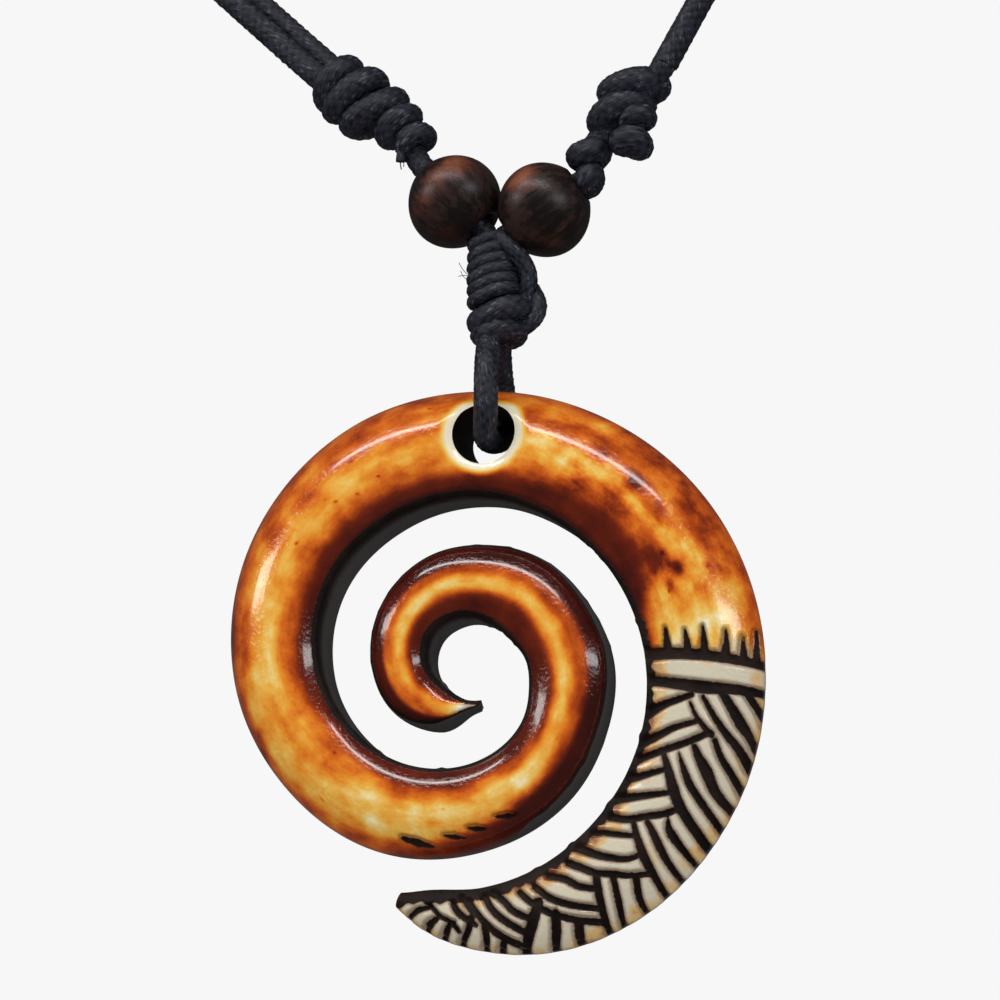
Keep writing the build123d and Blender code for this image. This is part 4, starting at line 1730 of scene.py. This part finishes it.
    def drilled(self, band: bpy.types.Mesh) -> bpy.types.Mesh:
        """The band with its hole cut out.

        Args:
            band: The closed mesh of the carved band.

        Returns:
            A new mesh.
        """
        holder = bpy.data.objects.new("band", band)
        tool = bpy.data.objects.new("drill", self.drill())
        for item in (holder, tool):
            bpy.context.scene.collection.objects.link(item)
        cut = holder.modifiers.new("hole", "BOOLEAN")
        cut.operation = "DIFFERENCE"
        cut.object = tool
        cut.solver = "EXACT"
        graph = bpy.context.evaluated_depsgraph_get()
        mesh = bpy.data.meshes.new_from_object(holder.evaluated_get(graph))
        for item in (holder, tool):
            bpy.data.objects.remove(item)
        mesh.name = "koru_carving"
        return mesh

    def band_length(self, turn: Array) -> Array:
        """Length along the band's middle up to each turn, in mm.

        Args:
            turn: The turns to measure to.

        Returns:
            One length for each turn.
        """
        steps = np.linspace(BAND[0, 0], BAND[-1, 0], LENGTH_STEPS)
        middle = self.columns(steps)[:, :2].mean(axis=1)
        return np.interp(turn, steps, np.cumsum(np.radians(steps[1] - steps[0]) * middle))

    def ink(self, turn: Array, radius: Array, rise: Array, front: Array, hole: Array) -> Array:
        """How far each point lies from black, in mm, less than 0 inside it.

        Args:
            turn: Turn of each point.
            radius: Its radius from the curl's centre.
            rise: Its height above the back.
            front: How far its surface faces the front, from -1 to 1.
            hole: Its distance outside the hole's wall.

        Returns:
            One distance for each point.
        """
        near, far, height, edge = self.columns(turn).T
        ragged = 0.22 * np.sin(turn * 1.3) * np.sin(turn * 0.57 + 1.0) * smooth_step(30, 0, turn)
        black_in = np.interp(turn, *BLACK_EDGE.T) + ragged
        inner = (radius - near) + np.minimum(0, rise - self.inner_wall * height) - black_in
        coil = smooth_step(262, 292, turn)
        black_out = 0.25 + 0.30 * smooth_step(400, 470, turn) * smooth_step(625, 590, turn)
        outer = np.minimum(0, rise - edge) + (far - radius) - black_out * coil + 4.0 * (1 - coil)
        black = np.minimum(inner, outer)
        cuts = self.all_cuts(turn, radius) + 0.4 * smooth_step(0.35, 0.10, rise / height)
        black = np.minimum(black, cuts)
        black = np.where(front < -0.3, 1.0, black)
        # Points on the drilled wall are painted fully black, as shade inside the hole.
        return np.clip(np.where(self.in_bore(hole, front), -1.0, black), -1, 1)

    @staticmethod
    def in_bore(hole: Array, front: Array) -> Array:
        """Which points lie on the drilled wall."""
        return (hole < 0.12) & (abs(front) < 0.4)

    def blots(self, turn: Array, radius: Array) -> Array:
        """How much lighter the blots and freckles make the stain at each point.

        Args:
            turn: Turn of each point.
            radius: Its radius from the curl's centre.

        Returns:
            One change of tone for each point.
        """
        total = np.zeros(len(turn))
        for at, across, long, wide, change in BLOTS:
            near, far = self.packed_columns(np.array([at]))[0, :2]
            reach = near + across * (far - near)
            along = np.radians(turn - at) * reach / long
            aside = (radius - reach) / wide
            total += change * np.exp(-(along**2 + aside**2))
        return total

    def stain_tone(self, turn: Array, radius: Array, share: Array) -> Array:
        """How light the stain is on the front, before the pale rim of the hole is set in.

        Args:
            turn: Turn of each point.
            radius: Its radius from the curl's centre.
            share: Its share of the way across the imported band.

        Returns:
            One tone for each point.
        """
        pool, lane_from, lane_to, lane, flank, out_from, out = soft_table(STAIN, turn).T
        tone = flank + (lane - self.lane_shade - flank) * (
            smooth_step(lane_from - 0.10, lane_from + 0.08, share)
            * smooth_step(lane_to + 0.12, lane_to - 0.08, share)
        )
        tone += self.blots(turn, radius)
        tone += (self.pool_tone - tone) * smooth_step(pool + 0.10, pool - 0.11, share)
        tone += (self.edge_tone - tone) * smooth_step(0.09, 0.0, share)
        tone += (out - tone) * smooth_step(out_from - 0.06, out_from + 0.07, share)
        return tone

    def paint(self, mesh: bpy.types.Mesh) -> None:
        """Keep at each point the marks that lead the resin's colours.

        Args:
            mesh: The drilled band, where it hangs.
        """
        count = len(mesh.vertices)
        points, normals = np.zeros(count * 3), np.zeros(count * 3)
        mesh.vertices.foreach_get("co", points)
        mesh.vertices.foreach_get("normal", normals)
        points, front = points.reshape(-1, 3) / MM, -normals.reshape(-1, 3)[:, 1]
        turn, radius, rise = self.unhang(points)
        near, far, height, _ = self.packed_columns(turn).T
        share = np.clip((radius - near) / (far - near), 0, 1)
        hole = np.hypot(points[:, 0] - self.hole_aside, points[:, 2] + self.drop) - self.hole_radius
        ivory = smooth_step(1.25, 0.45, hole) * smooth_step(-0.2, 0.2, front)
        ivory *= smooth_step(4.1, 4.9, rise)
        back = smooth_step(-0.6, -0.9, front)
        tone = self.stain_tone(turn, radius, share)
        tone = (tone * (1 - ivory) + ivory * self.ivory_tone) * (1 - back) + back * self.back_tone
        patchy = 1.0 + 0.5 * smooth_step(6, 18, turn) * smooth_step(84, 60, turn)
        # The drilled wall gets none of the grey wall colour, so it stays black as painted shade.
        wall = smooth_step(0.5, 0.2, front) * ~self.in_bore(hole, front)
        wall *= 1 - 0.75 * smooth_step(0.25, 0.75, rise / height) * (share < 0.5)
        marks = {
            "along": self.band_length(turn),
            "across_mm": radius - near,
            "tone": tone,
            "mottle": (1 - ivory) * patchy * (0.2 + 0.8 * smooth_step(0.1, 0.5, tone)),
            "amber": 0.8 * smooth_step(0.82, 1.0, share) + 1.75 * smooth_step(0.35, 0.0, share),
            "cream": smooth_step(4, -3, turn + 2.0 * np.sin(share * 14)) * (1 - back),
            "ink": self.ink(turn, radius, rise, front, hole),
            "wall": wall,
        }
        for mark, numbers in marks.items():
            store(mesh, mark, numbers)

    def build(self, finish: bpy.types.Material) -> None:
        """Carve, drill and stain the koru, and hang it on the pendant's body.

        Args:
            finish: The stained resin's material.
        """
        points, rows, ring = self.points()
        points = self.soften_rim(points)
        faces = ring_faces(rows, ring) + end_faces(rows, ring)
        mesh = self.drilled(Form(points, faces, {}).mesh("band"))
        mesh.shade_smooth()
        mesh.set_sharp_from_angle(angle=math.radians(50))
        self.paint(mesh)
        add_piece(mesh, finish, Body.PENDANT, ("koru",))


def main() -> None:
    """Build the stage, the cords, the knots, the beads and the koru, in that order."""
    logging.basicConfig(level=logging.INFO, format="%(name)s: %(message)s")
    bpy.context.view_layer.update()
    studio = Studio()
    studio.add_camera()
    studio.add_lights()
    studio.add_floor()
    cord = WaxedCord().material()
    closure = Knots().build(cord)
    NeckCords().build(cord, closure)
    wood = DarkWood().material()
    for bead in BEADS:
        bead.build(wood)
    Koru().build(StainedResin().material())


if __name__ == "__main__":
    main()
